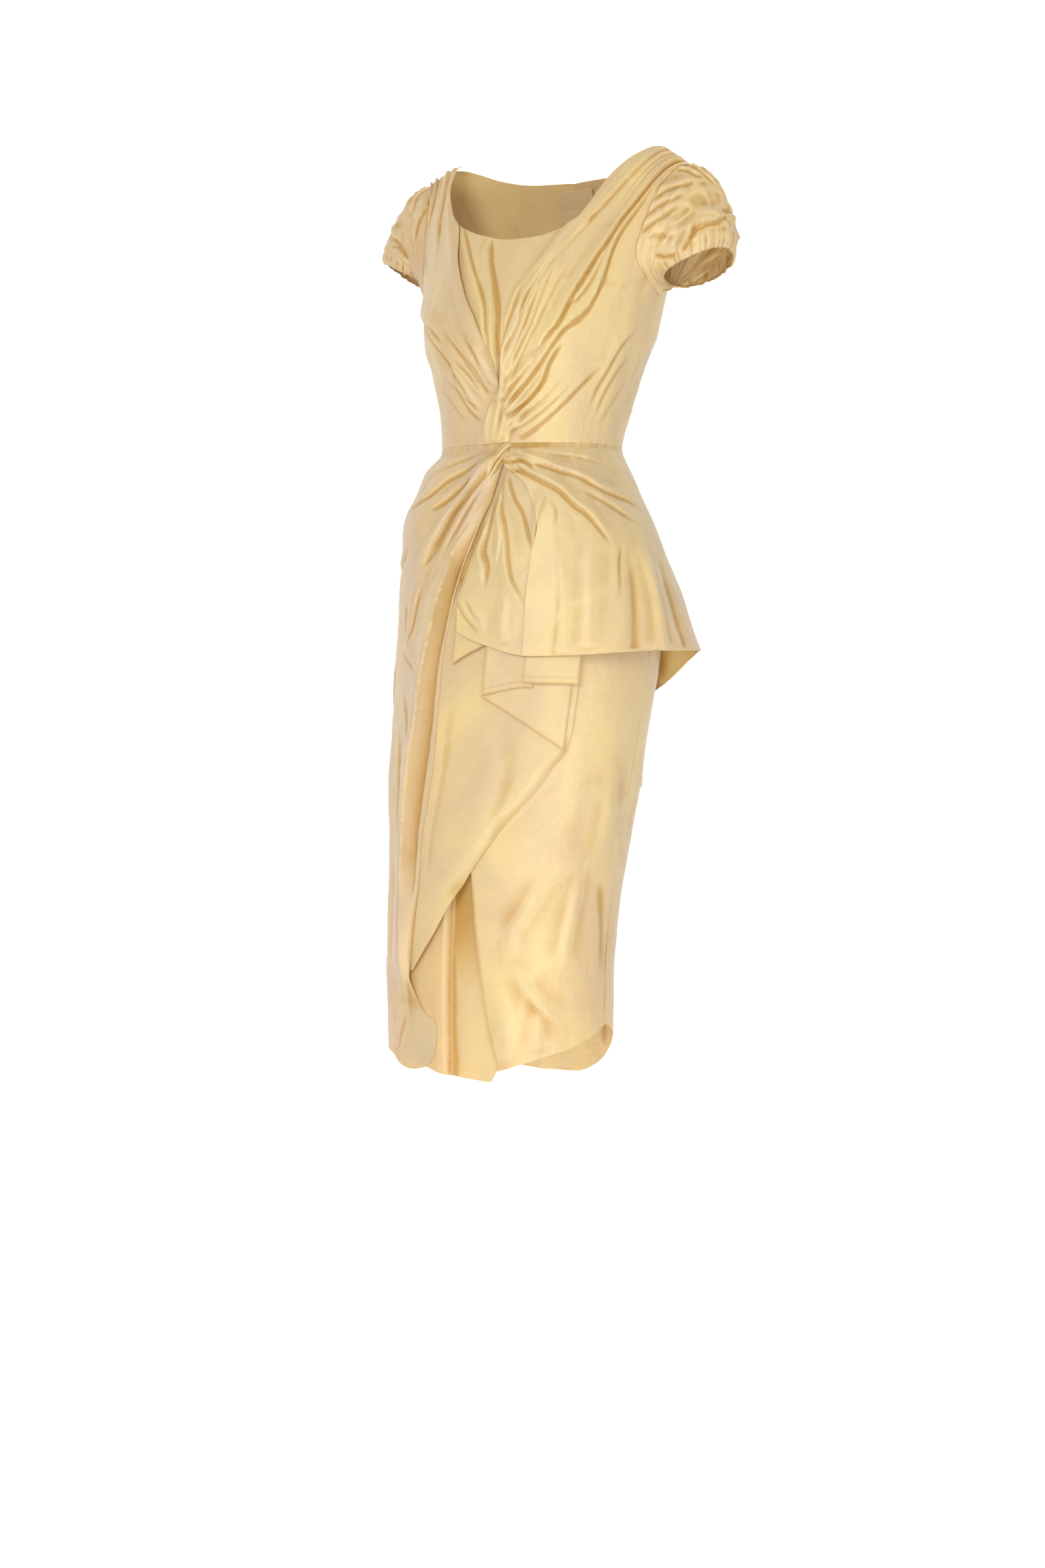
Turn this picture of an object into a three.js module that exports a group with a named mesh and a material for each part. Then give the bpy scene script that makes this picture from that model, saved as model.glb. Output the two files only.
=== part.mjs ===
// A draped cocktail dress, worn but hollow, in millimetres, +Z up.
// The origin is at the level of the shoulder tops, +X is the wearer's left and -Y the front.
// Every cloth piece is a closed wall laid over one hollow body form: phi is the angle round the
// body in degrees (0 front, 90 the wearer's left side, 180 back) and q the level on the form.
import * as THREE from 'three';

const CLOTH = 1.5;               // wall thickness of one layer of taffeta
const SEAM = 0.3;                // gap between pieces that are sewn edge to edge
const LAYER = 0.7;               // gap between layers that lie on each other
const CLEAR = 0.3;               // least distance from the form to the inner face of a layer
const OVER_ONE = CLOTH + LAYER;  // how much higher a layer lies where it covers another
const MM_PER_DEGREE = 2.0;       // cloth width of one degree of phi, near enough on every section
const SECTION_POWER = 2.25;      // the sections are slightly squared ellipses
const YOKE = -195;               // above this level the form closes to the shoulder line
const YOKE_FRONT_ROUND = 1.45;
const YOKE_BACK_ROUND = 1.9;
const WAIST = -322;              // level of the waist seam
const SKIRT_TOP = WAIST - SEAM / 2;
const SIDE_SEAM = 90;            // phi of both side seams
const CENTRE_BACK = 180;
const HANG_TOP = WAIST - 13;     // the peplum swings out from here down
const PEPLUM_HEM = -561;         // level of the upper peplum hem at the front
const PEPLUM_END = 177;          // the peplum ends beside the centre-back zip

// Horizontal sections of the form: level, half width, depth to the front, depth to the back,
// and the centre of the section.
const SECTIONS = [
  { z: -1080, half: 135, front: 104, back: 98, cx: -26, cy: -30 },
  { z: -940, half: 135, front: 106, back: 98, cx: -27, cy: -28 },
  { z: -820, half: 139, front: 110, back: 102, cx: -22, cy: -24 },
  { z: -700, half: 149, front: 114, back: 110, cx: -14, cy: -18 },
  { z: -580, half: 156, front: 115, back: 120, cx: -4, cy: -12 },
  { z: -510, half: 158, front: 112, back: 120, cx: 0, cy: -8 },
  { z: -440, half: 148, front: 104, back: 112, cx: 1, cy: -4 },
  { z: -370, half: 123, front: 92, back: 92, cx: -1, cy: -2 },
  { z: -325, half: 106, front: 82, back: 79, cx: -2, cy: 0 },
  { z: -290, half: 110, front: 87, back: 84, cx: -1, cy: 4 },
  { z: -240, half: 122, front: 103, back: 92, cx: 0, cy: 11 },
  { z: -195, half: 137, front: 113, back: 98, cx: 1, cy: 18 },
  { z: -150, half: 151, front: 112, back: 100, cx: 4, cy: 24 },
  { z: -100, half: 168, front: 110, back: 100, cx: 10, cy: 30 },
  { z: 0, half: 180, front: 110, back: 100, cx: 16, cy: 34 },
];
// The shoulder line as [x from the middle of the body, height]; the left shoulder sits lower.
const SHOULDER_LINE = [[-196, -24], [-178, -4], [-155, 8], [-136, 14], [-105, 19], [0, 24], [105, 16],
  [134, 8], [155, -4], [174, -18], [196, -38]];

// Edges as [q, phi], from the bottom up.
const RIGHT_DRAPE_EDGE = [[-322, 1], [-290, 2], [-256, 2], [-232, 0], [-195, -6], [-172, -15], [-146, -23],
  [-118, -28], [-104, -34], [-63, -42], [-8, -44], [0, -44]];
const LEFT_DRAPE_EDGE = [[-322, -6], [-307, -6], [-285, -3], [-258, 3], [-233, 4], [-190, 5], [-167, 8],
  [-153, 14], [-127, 20], [-121, 24], [-106, 26], [-84, 29], [-58, 34], [-41, 38], [-8, 44], [0, 47]];
const ARMHOLE_FRONT = [[-168, 90], [-165, 84], [-158, 73], [-149, 64], [-135, 59], [-110, 57], [-85, 58],
  [-50, 61], [-22, 66], [0, 73]];
const ARMHOLE_BACK = [[-168, 90], [-165, 97], [-158, 106], [-146, 113], [-125, 117], [-95, 119], [-60, 117],
  [-25, 112], [0, 107]];
const RIGHT_ARMHOLE_WIDTH = 0.78;  // the right armhole is narrower: that arm hangs closer
const WRAP_CREST = [[-1050, -29], [-925, -28], [-850, -29], [-773, -29], [-719, -28], [-671, -26],
  [-632, -24], [-595, -23], [-561, -21], [-531, -19], [-500, -17], [-473, -14], [-446, -12], [-419, -7],
  [-384, -3], [-357, 0], [-322, 3]];
const WRAP_VALLEY = [[-923, -25], [-872, -23], [-818, -20], [-771, -19], [-725, -16], [-671, -14],
  [-574, -14], [-504, -11], [-463, -8], [-428, -4], [-388, 1], [-357, 4], [-322, 8]];
const WRAP_LOWER_EDGE = [[-1050, -12], [-1035, -11], [-1008, -9], [-993, -10], [-975, -14], [-953, -20],
  [-925, -25]];
const WRAP_EDGE_JOIN = WRAP_LOWER_EDGE.at(-1)[0];  // level at which the valley's edge becomes this one
const OVERLAY_EDGE = [[-925, -24], [-902, -17], [-876, -10], [-832, -1], [-796, 6], [-749, 18], [-708, 31],
  [-681, 38], [-665, 43], [-640, 44], [-335, 45]];
const SLIT_EDGE = [[-1050, 19], [-1030, 19], [-1002, 16], [-964, 13], [-896, 9], [-843, 6], [-798, 4],
  [-700, 2], [-500, -4], [-322, -8]];
const SWAG_EDGE = [[-561, -4], [-533, -7], [-500, -8], [-465, -7], [-428, -3], [-388, 2], [-340, 7]];
const PLEAT_EDGE = [[-561, 19], [-501, 18], [-452, 19], [-416, 22], [-380, 19], [-350, 14], [-322, 11]];
// Hems and top edges as [phi, q].
const NECKLINE = [[-36, -104], [-31, -112], [-27, -117], [-15, -127], [0, -134], [9, -133], [18, -127],
  [24, -121], [28, -104]];
const BACK_NECKLINE = [[129, -1.2], [135, -15], [142, -35], [152, -52], [165, -62], [180, -66]];
const WRAP_HEM = [[-90, -1036], [-75, -1034], [-60, -1030], [-46, -1030], [-37, -1038], [-27, -1041],
  [-16, -1035], [-10, -1018]];
const FRONT_HEM = [[10, -1034], [19, -1031], [28, -1024], [38, -1017], [48, -1011], [58, -1007],
  [90, -986]];
const BACK_HEM_LEFT = [[90, -986], [100, -994], [111, -1004], [128, -1030], [145, -1056], [160, -1070],
  [180, -1074]];
const BACK_HEM_RIGHT = [[90, -1036], [120, -1052], [150, -1067], [180, -1074]];
const UNDERLAP_HEM = [[-32, -1028], [-16, -1035], [0, -1045], [14, -1046], [18, -1032], [28, -1016]];
const PEPLUM_HEMLINE = [[11, -561], [31, -560], [59, -555], [74, -552], [111, -550], [120, -560],
  [132, -590], [150, -618], [177, -620]];
const SWAG_HEM = [[-8, -533], [3, -549], [18, -560], [26, -561]];
const PEPLUM_FLARE = [[11, 17], [28, 18], [45, 20], [60, 22], [80, 30], [98, 40], [111, 46], [122, 38],
  [135, 22], [150, 14], [177, 7]];
// How far the wrap stands off the body at the wearer's right, as [q, mm].
const WRAP_LIFT = [[-1050, 2], [-1012, 3], [-942, 3.5], [-818, 3], [-740, 3], [-680, 1.5], [-620, 1],
  [-542, 1], [-505, 2.5], [-472, 5], [-442, 10], [-412, 16], [-375, 12], [-342, 11], [-322, 1]];

const FOLD_FADE = 0.2;   // share of a fold's length over which it rises at each end
// Folds: start and end of the fold line, its bow sideways in mm, its height, and how far it
// runs out on the side of lower and of higher phi.
const RIGHT_DRAPE_FOLDS = [
  { phi0: -60, q0: -6, phi1: -56, q1: -112, bow: 0, height: 2.5, low: 8, high: 6 },
  { phi0: -52, q0: -8, phi1: -50, q1: -150, bow: 2, height: 2.5, low: 8, high: 6 },
  { phi0: -44, q0: -60, phi1: -20, q1: -215, bow: -8, height: 2.5, low: 9, high: 6 },
  { phi0: -37, q0: -95, phi1: -4, q1: -235, bow: -10, height: 3.5, low: 10, high: 5 },
  { phi0: -56, q0: -168, phi1: -8, q1: -288, bow: -14, height: 3, low: 9, high: 6 },
  { phi0: -48, q0: -200, phi1: -14, q1: -290, bow: -8, height: 2.5, low: 8, high: 6 },
];
const LEFT_DRAPE_FOLDS = [
  { phi0: 45, q0: -20, phi1: 10, q1: -225, bow: 10, height: 2.5, low: 7, high: 8 },
  { phi0: 50, q0: -60, phi1: 8, q1: -258, bow: 16, height: 3.5, low: 6, high: 9 },
  { phi0: 47, q0: -128, phi1: 2, q1: -285, bow: 16, height: 3, low: 6, high: 9 },
  { phi0: 36, q0: -205, phi1: 6, q1: -280, bow: 6, height: 2.5, low: 6, high: 8 },
  { phi0: 58, q0: -225, phi1: 8, q1: -316, bow: 8, height: 2.5, low: 7, high: 9 },
  { phi0: 74, q0: -182, phi1: 57, q1: -300, bow: 4, height: 1.5, low: 10, high: 10 },
];
const WRAP_FOLDS = [
  { phi0: 1, q0: -338, phi1: -36, q1: -470, bow: 6, height: -6, low: 8, high: 9 },
  { phi0: -8, q0: -352, phi1: -52, q1: -420, bow: 4, height: -4, low: 8, high: 8 },
  { phi0: -2, q0: -350, phi1: -30, q1: -430, bow: 4, height: 3, low: 6, high: 6 },
  { phi0: -16, q0: -440, phi1: -40, q1: -640, bow: 4, height: 4, low: 12, high: 12 },
  { phi0: -30, q0: -480, phi1: -52, q1: -720, bow: 4, height: -3, low: 14, high: 12 },
  { phi0: -36, q0: -720, phi1: -38, q1: -980, bow: 0, height: 3, low: 14, high: 14 },
];
const PEPLUM_FOLDS = [
  { phi0: 14, q0: -345, phi1: 66, q1: -440, bow: -12, height: 3, low: 7, high: 7 },
  { phi0: 14, q0: -336, phi1: 88, q1: -392, bow: -8, height: 2.5, low: 6, high: 6 },
  { phi0: 50, q0: -420, phi1: 54, q1: -561, bow: 0, height: 6, low: 12, high: 12 },
  { phi0: 74, q0: -420, phi1: 80, q1: -561, bow: 0, height: 9, low: 14, high: 14 },
  { phi0: 138, q0: -400, phi1: 142, q1: -600, bow: 0, height: 8, low: 14, high: 14 },
];
const SWAG_FOLDS = [
  { phi0: 8, q0: -350, phi1: 3, q1: -490, bow: 3, height: 4, low: 6, high: 6 },
  { phi0: 12, q0: -352, phi1: 14, q1: -550, bow: -3, height: 4, low: 6, high: 7 },
];

// The drapes: each lies on the inset in front and comes down to the form towards the side, and
// the left one crosses over the right one above the waist.
const DRAPES = { sideFrom: 45, sideTo: 63, crossFrom: 12, crossTo: 4, crossTop: -215, crossFoot: -237 };
// The inset runs behind both drapes and down to a level that they hide.
const INSET = { top: -112, foot: -262, sunk: -0.8, underRight: 7, underLeft: 6, leastRight: -6,
  leastLeft: 10 };
// The overlay lies on the front, tucked under the wrap's edge, and stands off a little lower down.
const OVERLAY = { top: HANG_TOP - 1, foot: -924, tuck: 5, rise: 3, riseFrom: -30, riseTo: -10,
  riseTop: -640, riseFoot: -700 };
// The underlap shows in the slit: a pleat stands forward at its right and the cloth drops away
// beside it towards the opening.
const UNDERLAP = { from: -31, overlap: 7, top: -772, sunk: 0.5, drop: 10, dropFrom: -10, dropTo: -4,
  backTo: 14, back: 0.8, dropTop: -785, dropFoot: -875 };
// The wrap: a long crest with a valley beside it, whose edge lies on the overlay. All come from
// the waist seam, and the lower corner is turned back.
const WRAP = {
  sideRun: 32,                                     // it comes free of the side seam over these degrees
  crestHeight: 9, crestReach: 20,
  liftFrom: -8, liftTo: -48,
  swell: 4, swellFrom: -52, swellTo: -26,
  edgeHeight: 6.2, edgeRise: 2, edgeTop: -600, edgeFoot: -700,
  turnTop: -900, turnFoot: -960, turnRise: 1,
  seamFrom: -24, seamTo: -14,                      // at the seam it lies over the underlayer from here
  coverFrom: -10, coverTo: -6, coverRun: 11,       // and over the overlay, beside its edge, from here
  waistRun: 70,
};
// The swag hangs from the knot, between the wrap's edge and the pleat.
const SWAG = { top: -342, besideWrap: 1.5, underPleat: 5, hang: 11 };
// The peplum: phi at which it leaves the swag and the overlay, how it stands over them, how its
// fall opens out, and how much of its own folds shows over the swag.
const PEPLUM = {
  top: WAIST - 2, topRun: 14,
  swagFrom: 29, swagTo: 41, overlayFrom: 46, overlayTo: 54, extra: 0.4,
  overSwagFlare: 15.7, flareLeast: 4,
  bellFront: 1.1, bellSide: 3.2, bellFrom: 50, bellTo: 90,
  foldsOverSwag: 0.2,
};
// What hangs below the peplum's hem: from and to in degrees, top, stand-off, and hem as [phi, q].
const TIERS = [
  { name: 'peplum_tier_side', from: 19.5, to: 43.5, top: -490, off: 10.3, hem: [[19, -590], [44, -591]] },
  { name: 'peplum_tier_front', from: 3.8, to: 24, top: -480, off: 8.1, hem: [[3, -605], [22, -595]] },
  { name: 'peplum_point', from: 3.5, to: 41, top: -520, off: 5.9, hem: [[3, -606], [41, -664]] },
  { name: 'peplum_corner', from: -8.5, to: 3, top: -500, off: 10.2, hem: [[-9, -572], [3, -549]] },
];
// The knot: a short twisted strand that leans over to the wearer's left at its top.
const KNOT = { phi: 3, q: -344, wide: 12, high: 20, lean: 7, over: 0.4, bulge: 9, twist: 0.9,
  grooves: 6, grooveDepth: 1.5, roundness: 1.05 };
const ZIP = { halfWidth: 6, top: -72, foot: -520, gap: 1.3 };

// Sleeves: the hem ring's centre and radii, its drop from the inner to the outer side,
// and how far the cap puffs out.
const SLEEVES = [
  { name: 'sleeve_left', side: 1, width: 1, cx: 193, cy: 34, cz: -124, across: 38, deep: 46, tilt: 15,
    lean: 7, puff: 20 },
  { name: 'sleeve_right', side: -1, width: RIGHT_ARMHOLE_WIDTH, cx: -186, cy: 48, cz: -110, across: 35,
    deep: 46, tilt: 17, lean: 12, puff: 14 },
];
const SLEEVE = {
  columns: 44, rows: 6,
  waves: 12, waveHeight: 2.2, leastWave: 0.3,      // gathers round it, smaller under the arm
  reach: 1.6,                                      // how strongly it leaves the armhole and the hem
  leave: 24, leaveTop: 22, leaveOut: 10, leaveSink: 6,
  arrive: 8, arriveDown: 10,
  top: -3, bottom: -166,                           // levels of the armhole's ends
  inset: 1.6, shoulderInset: 3,                    // the seam lies just inside the armhole edge
  offForm: 1, outside: 1.6,
};

const COLOURS = {
  cloth: new THREE.Color(0.92, 0.8, 0.56),
  underside: new THREE.Color(0.95, 0.8, 0.45),
  zip: new THREE.Color(0.85, 0.76, 0.58),
};

// ---------- small maths ----------

const radians = THREE.MathUtils.degToRad;
const clamp = THREE.MathUtils.clamp;
const lerp = THREE.MathUtils.lerp;
const ease = (x) => THREE.MathUtils.smoothstep(x, 0, 1);
/** A smooth step from 0 at one place to 1 at another, in either direction. */
const ramp = (x, from, to) => ease((x - from) / (to - from));
const range = (n) => Array.from({ length: n }, (_, i) => i);

/** A smooth curve through [x, y] rows that never overshoots them. */
function curve(rows) {
  const xs = rows.map((row) => row[0]);
  const ys = rows.map((row) => row[1]);
  const last = xs.length - 1;
  const step = range(last).map((i) => (ys[i + 1] - ys[i]) / (xs[i + 1] - xs[i]));
  const slope = xs.map((_, i) => {
    if (i === 0) return step[0];
    if (i === last) return step[last - 1];
    const product = step[i - 1] * step[i];
    return product <= 0 ? 0 : (2 * product) / (step[i - 1] + step[i]);
  });
  return (x) => {
    if (x <= xs[0]) return ys[0];
    if (x >= xs[last]) return ys[last];
    let i = 0;
    while (x > xs[i + 1]) i += 1;
    const width = xs[i + 1] - xs[i];
    const t = (x - xs[i]) / width;
    const rise = slope[i] * width * t * (1 - t) ** 2 - slope[i + 1] * width * t ** 2 * (1 - t);
    return lerp(ys[i], ys[i + 1], t * t * (3 - 2 * t)) + rise;
  };
}

// ---------- the body form ----------

const column = (key) => curve(SECTIONS.map((row) => [row.z, row[key]]));
const halfWidth = column('half');
const frontDepth = column('front');
const backDepth = column('back');
const centreX = column('cx');
const centreY = column('cy');
const shoulderHeight = curve(SHOULDER_LINE);

/** A point of the body form. */
function body(phi, q) {
  const s = Math.sin(radians(phi));
  const c = Math.cos(radians(phi));
  const across = Math.sign(s) * Math.abs(s) ** (2 / SECTION_POWER);
  const ahead = Math.sign(c) * Math.abs(c) ** (2 / SECTION_POWER);
  const depth = c > 0 ? frontDepth(q) : backDepth(q);
  const x = centreX(q) + halfWidth(q) * across;
  if (q <= YOKE) return new THREE.Vector3(x, centreY(q) - depth * ahead, q);
  const rise = Math.sin(((q - YOKE) / -YOKE) * Math.PI * 0.5);
  const round = c > 0 ? YOKE_FRONT_ROUND : YOKE_BACK_ROUND;
  const shrink = Math.max(0, 1 - rise ** round) ** (1 / round);
  const z = lerp(YOKE, shoulderHeight(x - centreX(0)), rise);
  return new THREE.Vector3(x, centreY(q) - depth * ahead * shrink, z);
}

const NORMAL_TOP = -3;      // the form has an edge at the shoulder line, so normals stop here
const NORMAL_STEP = { phi: 0.3, q: 1.5 };

/** The outward normal of the body form. */
function bodyNormal(phi, q) {
  const level = Math.min(q, NORMAL_TOP);
  const round = body(phi + NORMAL_STEP.phi, level).sub(body(phi - NORMAL_STEP.phi, level));
  const up = body(phi, level + NORMAL_STEP.q).sub(body(phi, level - NORMAL_STEP.q));
  return round.cross(up).normalize();
}

const offBody = (phi, q, off) => body(phi, q).addScaledVector(bodyNormal(phi, q), off);

/** How far the folds in a table lift the cloth at one place. */
function foldLift(folds, phi, q) {
  let lift = 0;
  for (const { phi0, q0, phi1, q1, bow, height, low, high } of folds) {
    const runX = (phi1 - phi0) * MM_PER_DEGREE;
    const runY = q1 - q0;
    const length = Math.hypot(runX, runY);
    const x = (phi - phi0) * MM_PER_DEGREE;
    const y = q - q0;
    const s = (x * runX + y * runY) / length ** 2;
    if (s <= 0 || s >= 1) continue;
    const side = (y * runX - x * runY) / length - 4 * bow * s * (1 - s);
    const width = side < 0 ? low : high;
    const fade = ease(s / FOLD_FADE) * ease((1 - s) / FOLD_FADE);
    lift += height * fade * Math.exp(-((side / width) ** 2));
  }
  return lift;
}

// ---------- building closed walls ----------

/** A closed solid from an outer and an inner grid of points; wrap joins the first and last column. */
function gridSolid(outer, inner, wrap) {
  const columns = outer.length;
  const rows = outer[0].length;
  const points = [outer, inner].flat(2);
  const positions = points.flatMap((p) => [p.x, p.y, p.z]);
  const at = (layer, i, j) => (layer * columns + (i % columns)) * rows + j;
  const triangles = [];
  const quad = (a, b, c, d) => triangles.push(a, b, c, a, c, d);
  const spans = wrap ? columns : columns - 1;
  for (let i = 0; i < spans; i += 1) {
    for (let j = 0; j < rows - 1; j += 1) {
      quad(at(0, i, j), at(0, i, j + 1), at(0, i + 1, j + 1), at(0, i + 1, j));
      quad(at(1, i, j), at(1, i + 1, j), at(1, i + 1, j + 1), at(1, i, j + 1));
    }
    quad(at(0, i, 0), at(0, i + 1, 0), at(1, i + 1, 0), at(1, i, 0));
    quad(at(0, i + 1, rows - 1), at(0, i, rows - 1), at(1, i, rows - 1), at(1, i + 1, rows - 1));
  }
  if (!wrap) {
    for (let j = 0; j < rows - 1; j += 1) {
      quad(at(0, 0, j + 1), at(0, 0, j), at(1, 0, j), at(1, 0, j + 1));
      const end = columns - 1;
      quad(at(0, end, j), at(0, end, j + 1), at(1, end, j + 1), at(1, end, j));
    }
  }
  const geometry = new THREE.BufferGeometry();
  geometry.setAttribute('position', new THREE.Float32BufferAttribute(positions, 3));
  geometry.setIndex(triangles);
  geometry.computeVertexNormals();
  return geometry;
}

const dress = new THREE.Group();

function addPiece(name, geometry, colour) {
  const material = new THREE.MeshStandardMaterial({ color: colour, roughness: 0.45, metalness: 0 });
  const mesh = new THREE.Mesh(geometry, material);
  mesh.name = name;
  dress.add(mesh);
}

/**
 * A wall over the body. place(u, v) gives [phi, q] with u running to higher phi and v
 * running down; off(phi, q) is how far its inner face stands off the body.
 */
function addWall(name, { columns, rows, place, off, thick = () => CLOTH, colour = COLOURS.cloth }) {
  const layer = (outside) => range(columns + 1).map((i) => range(rows + 1).map((j) => {
    const [phi, q] = place(i / columns, j / rows);
    return offBody(phi, q, off(phi, q) + (outside ? thick(phi, q) : 0));
  }));
  addPiece(name, gridSolid(layer(true), layer(false), false), colour);
}

/** Fills a region between two side edges given as phi(q), from a top level to a hem given as q(phi). */
function between(left, right, top, bottom) {
  return (u, v) => {
    const mid = lerp(left((top + bottom(0)) / 2), right((top + bottom(0)) / 2), u);
    const level = lerp(top, bottom(mid), v);
    const phi = lerp(left(level), right(level), u);
    return [phi, lerp(top, bottom(phi), v)];
  };
}

/** Row spacing of the long skirt pieces: finer where the form turns at the waist. */
const skirtRows = curve([[0, 0], [0.3, 0.13], [1, 1]]);

/** Levels of the bodice's rows, finer round the armhole, from the shoulder to the waist. */
const bodiceRows = curve([[0, -1.2], [0.08, -12], [0.45, -130], [0.58, -160], [0.63, -172],
  [1, WAIST + SEAM / 2]]);

/** Columns of the underlap, closer together where the pleat drops. */
const underlapColumns = curve([[0, 0], [0.3, 0.36], [0.5, 0.46], [1, 1]]);

// ---------- stand-off of each layer ----------

const wrapCrest = curve(WRAP_CREST);
const wrapValley = curve(WRAP_VALLEY);
const wrapLift = curve(WRAP_LIFT);
const pleatEdge = curve(PLEAT_EDGE);
const peplumFlare = curve(PEPLUM_FLARE);
const peplumHemline = curve(PEPLUM_HEMLINE);

const hang = (q) => clamp((HANG_TOP - q) / (HANG_TOP - PEPLUM_HEM), 0, 1);

/** A drape's stand-off before its folds, from its distance in degrees to the front. */
const drapeBase = (aside) => CLEAR + OVER_ONE * (1 - ramp(aside, DRAPES.sideFrom, DRAPES.sideTo));

const rightDrapeOff = (phi, q) => drapeBase(-phi) + foldLift(RIGHT_DRAPE_FOLDS, phi, q);

function leftDrapeOff(phi, q) {
  const crossing = ramp(phi, DRAPES.crossFrom, DRAPES.crossTo) * ramp(q, DRAPES.crossTop, DRAPES.crossFoot);
  return drapeBase(phi) + (OVER_ONE + CLEAR) * crossing + foldLift(LEFT_DRAPE_FOLDS, phi, q);
}

function overlayOff(phi, q) {
  const rise = ramp(phi, OVERLAY.riseFrom, OVERLAY.riseTo) * ramp(q, OVERLAY.riseTop, OVERLAY.riseFoot);
  return OVER_ONE + CLEAR + hang(q) + OVERLAY.rise * rise;
}

function underlapOff(phi, q) {
  const beside = ramp(phi, UNDERLAP.dropFrom, UNDERLAP.dropTo)
    * (1 - UNDERLAP.back * ramp(phi, UNDERLAP.dropTo, UNDERLAP.backTo));
  return -CLOTH - UNDERLAP.sunk - UNDERLAP.drop * beside * ramp(q, UNDERLAP.dropTop, UNDERLAP.dropFoot);
}

function wrapOff(phi, q) {
  const fromSide = ramp(phi, -SIDE_SEAM, -SIDE_SEAM + WRAP.sideRun);
  const crest = wrapCrest(q);
  const valley = Math.max(wrapValley(q), crest + 2);
  const turned = ramp(q, WRAP.turnTop, WRAP.turnFoot);
  const beforeCrest = Math.min(0, phi - crest) * MM_PER_DEGREE;
  const lifted = wrapLift(q) * fromSide * ramp(phi, WRAP.liftFrom, WRAP.liftTo)
    + WRAP.swell * ramp(phi, WRAP.swellFrom, WRAP.swellTo)
    + WRAP.crestHeight * Math.exp(-((beforeCrest / WRAP.crestReach) ** 2)) * (1 - turned);
  const edge = WRAP.edgeHeight + WRAP.edgeRise * ramp(q, WRAP.edgeTop, WRAP.edgeFoot)
    + WRAP.turnRise * turned;
  const down = clamp((phi - crest) / (valley - crest), 0, 1) * (1 - turned);
  const free = lerp(lifted, edge, down) + foldLift(WRAP_FOLDS, phi, q) * fromSide;
  const covering = ramp(phi - wrapValley(q), WRAP.coverFrom, WRAP.coverTo)
    * ramp(q, WAIST, WAIST - WRAP.coverRun);
  const seam = CLEAR + OVER_ONE * ramp(phi, WRAP.seamFrom, WRAP.seamTo)
    + (OVER_ONE + PEPLUM.extra) * covering;
  return lerp(seam, Math.max(free, CLEAR), ramp(q, WAIST, WAIST - WRAP.waistRun));
}

const swagFolds = (phi, q) => Math.max(0, foldLift(SWAG_FOLDS, phi, q));
const swagOff = (phi, q) => 2 * OVER_ONE + SWAG.hang * hang(q) + swagFolds(phi, q);

function peplumOff(phi, q) {
  const overSwag = 1 - ramp(phi, PEPLUM.swagFrom, PEPLUM.swagTo);
  const overOverlay = 1 - ramp(phi, PEPLUM.overlayFrom, PEPLUM.overlayTo);
  const seam = OVER_ONE + CLEAR;
  const top = seam + (OVER_ONE + PEPLUM.extra) * (overOverlay + overSwag);
  const drop = clamp((HANG_TOP - q) / (HANG_TOP - peplumHemline(phi)), 0, 1);
  const flare = Math.max(peplumFlare(phi), PEPLUM.overSwagFlare * overSwag + PEPLUM.flareLeast);
  const bell = lerp(PEPLUM.bellFront, PEPLUM.bellSide, ramp(phi, PEPLUM.bellFrom, PEPLUM.bellTo));
  const folds = foldLift(PEPLUM_FOLDS, phi, q) * lerp(1, PEPLUM.foldsOverSwag, overSwag);
  const free = top + (flare - top) * drop ** bell + overSwag * swagFolds(phi, q) + folds;
  return lerp(seam, free, ramp(q, PEPLUM.top, PEPLUM.top - PEPLUM.topRun));
}

// ---------- the pieces ----------

const rightDrapeEdge = curve(RIGHT_DRAPE_EDGE);
const leftDrapeEdge = curve(LEFT_DRAPE_EDGE);
const armholeFront = curve(ARMHOLE_FRONT);
const armholeBack = curve(ARMHOLE_BACK);
const halfSeamDegrees = SEAM / 2 / MM_PER_DEGREE;
const BACK_ROW_DROP = 8;    // keeps the back's rows apart under its neckline

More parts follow.
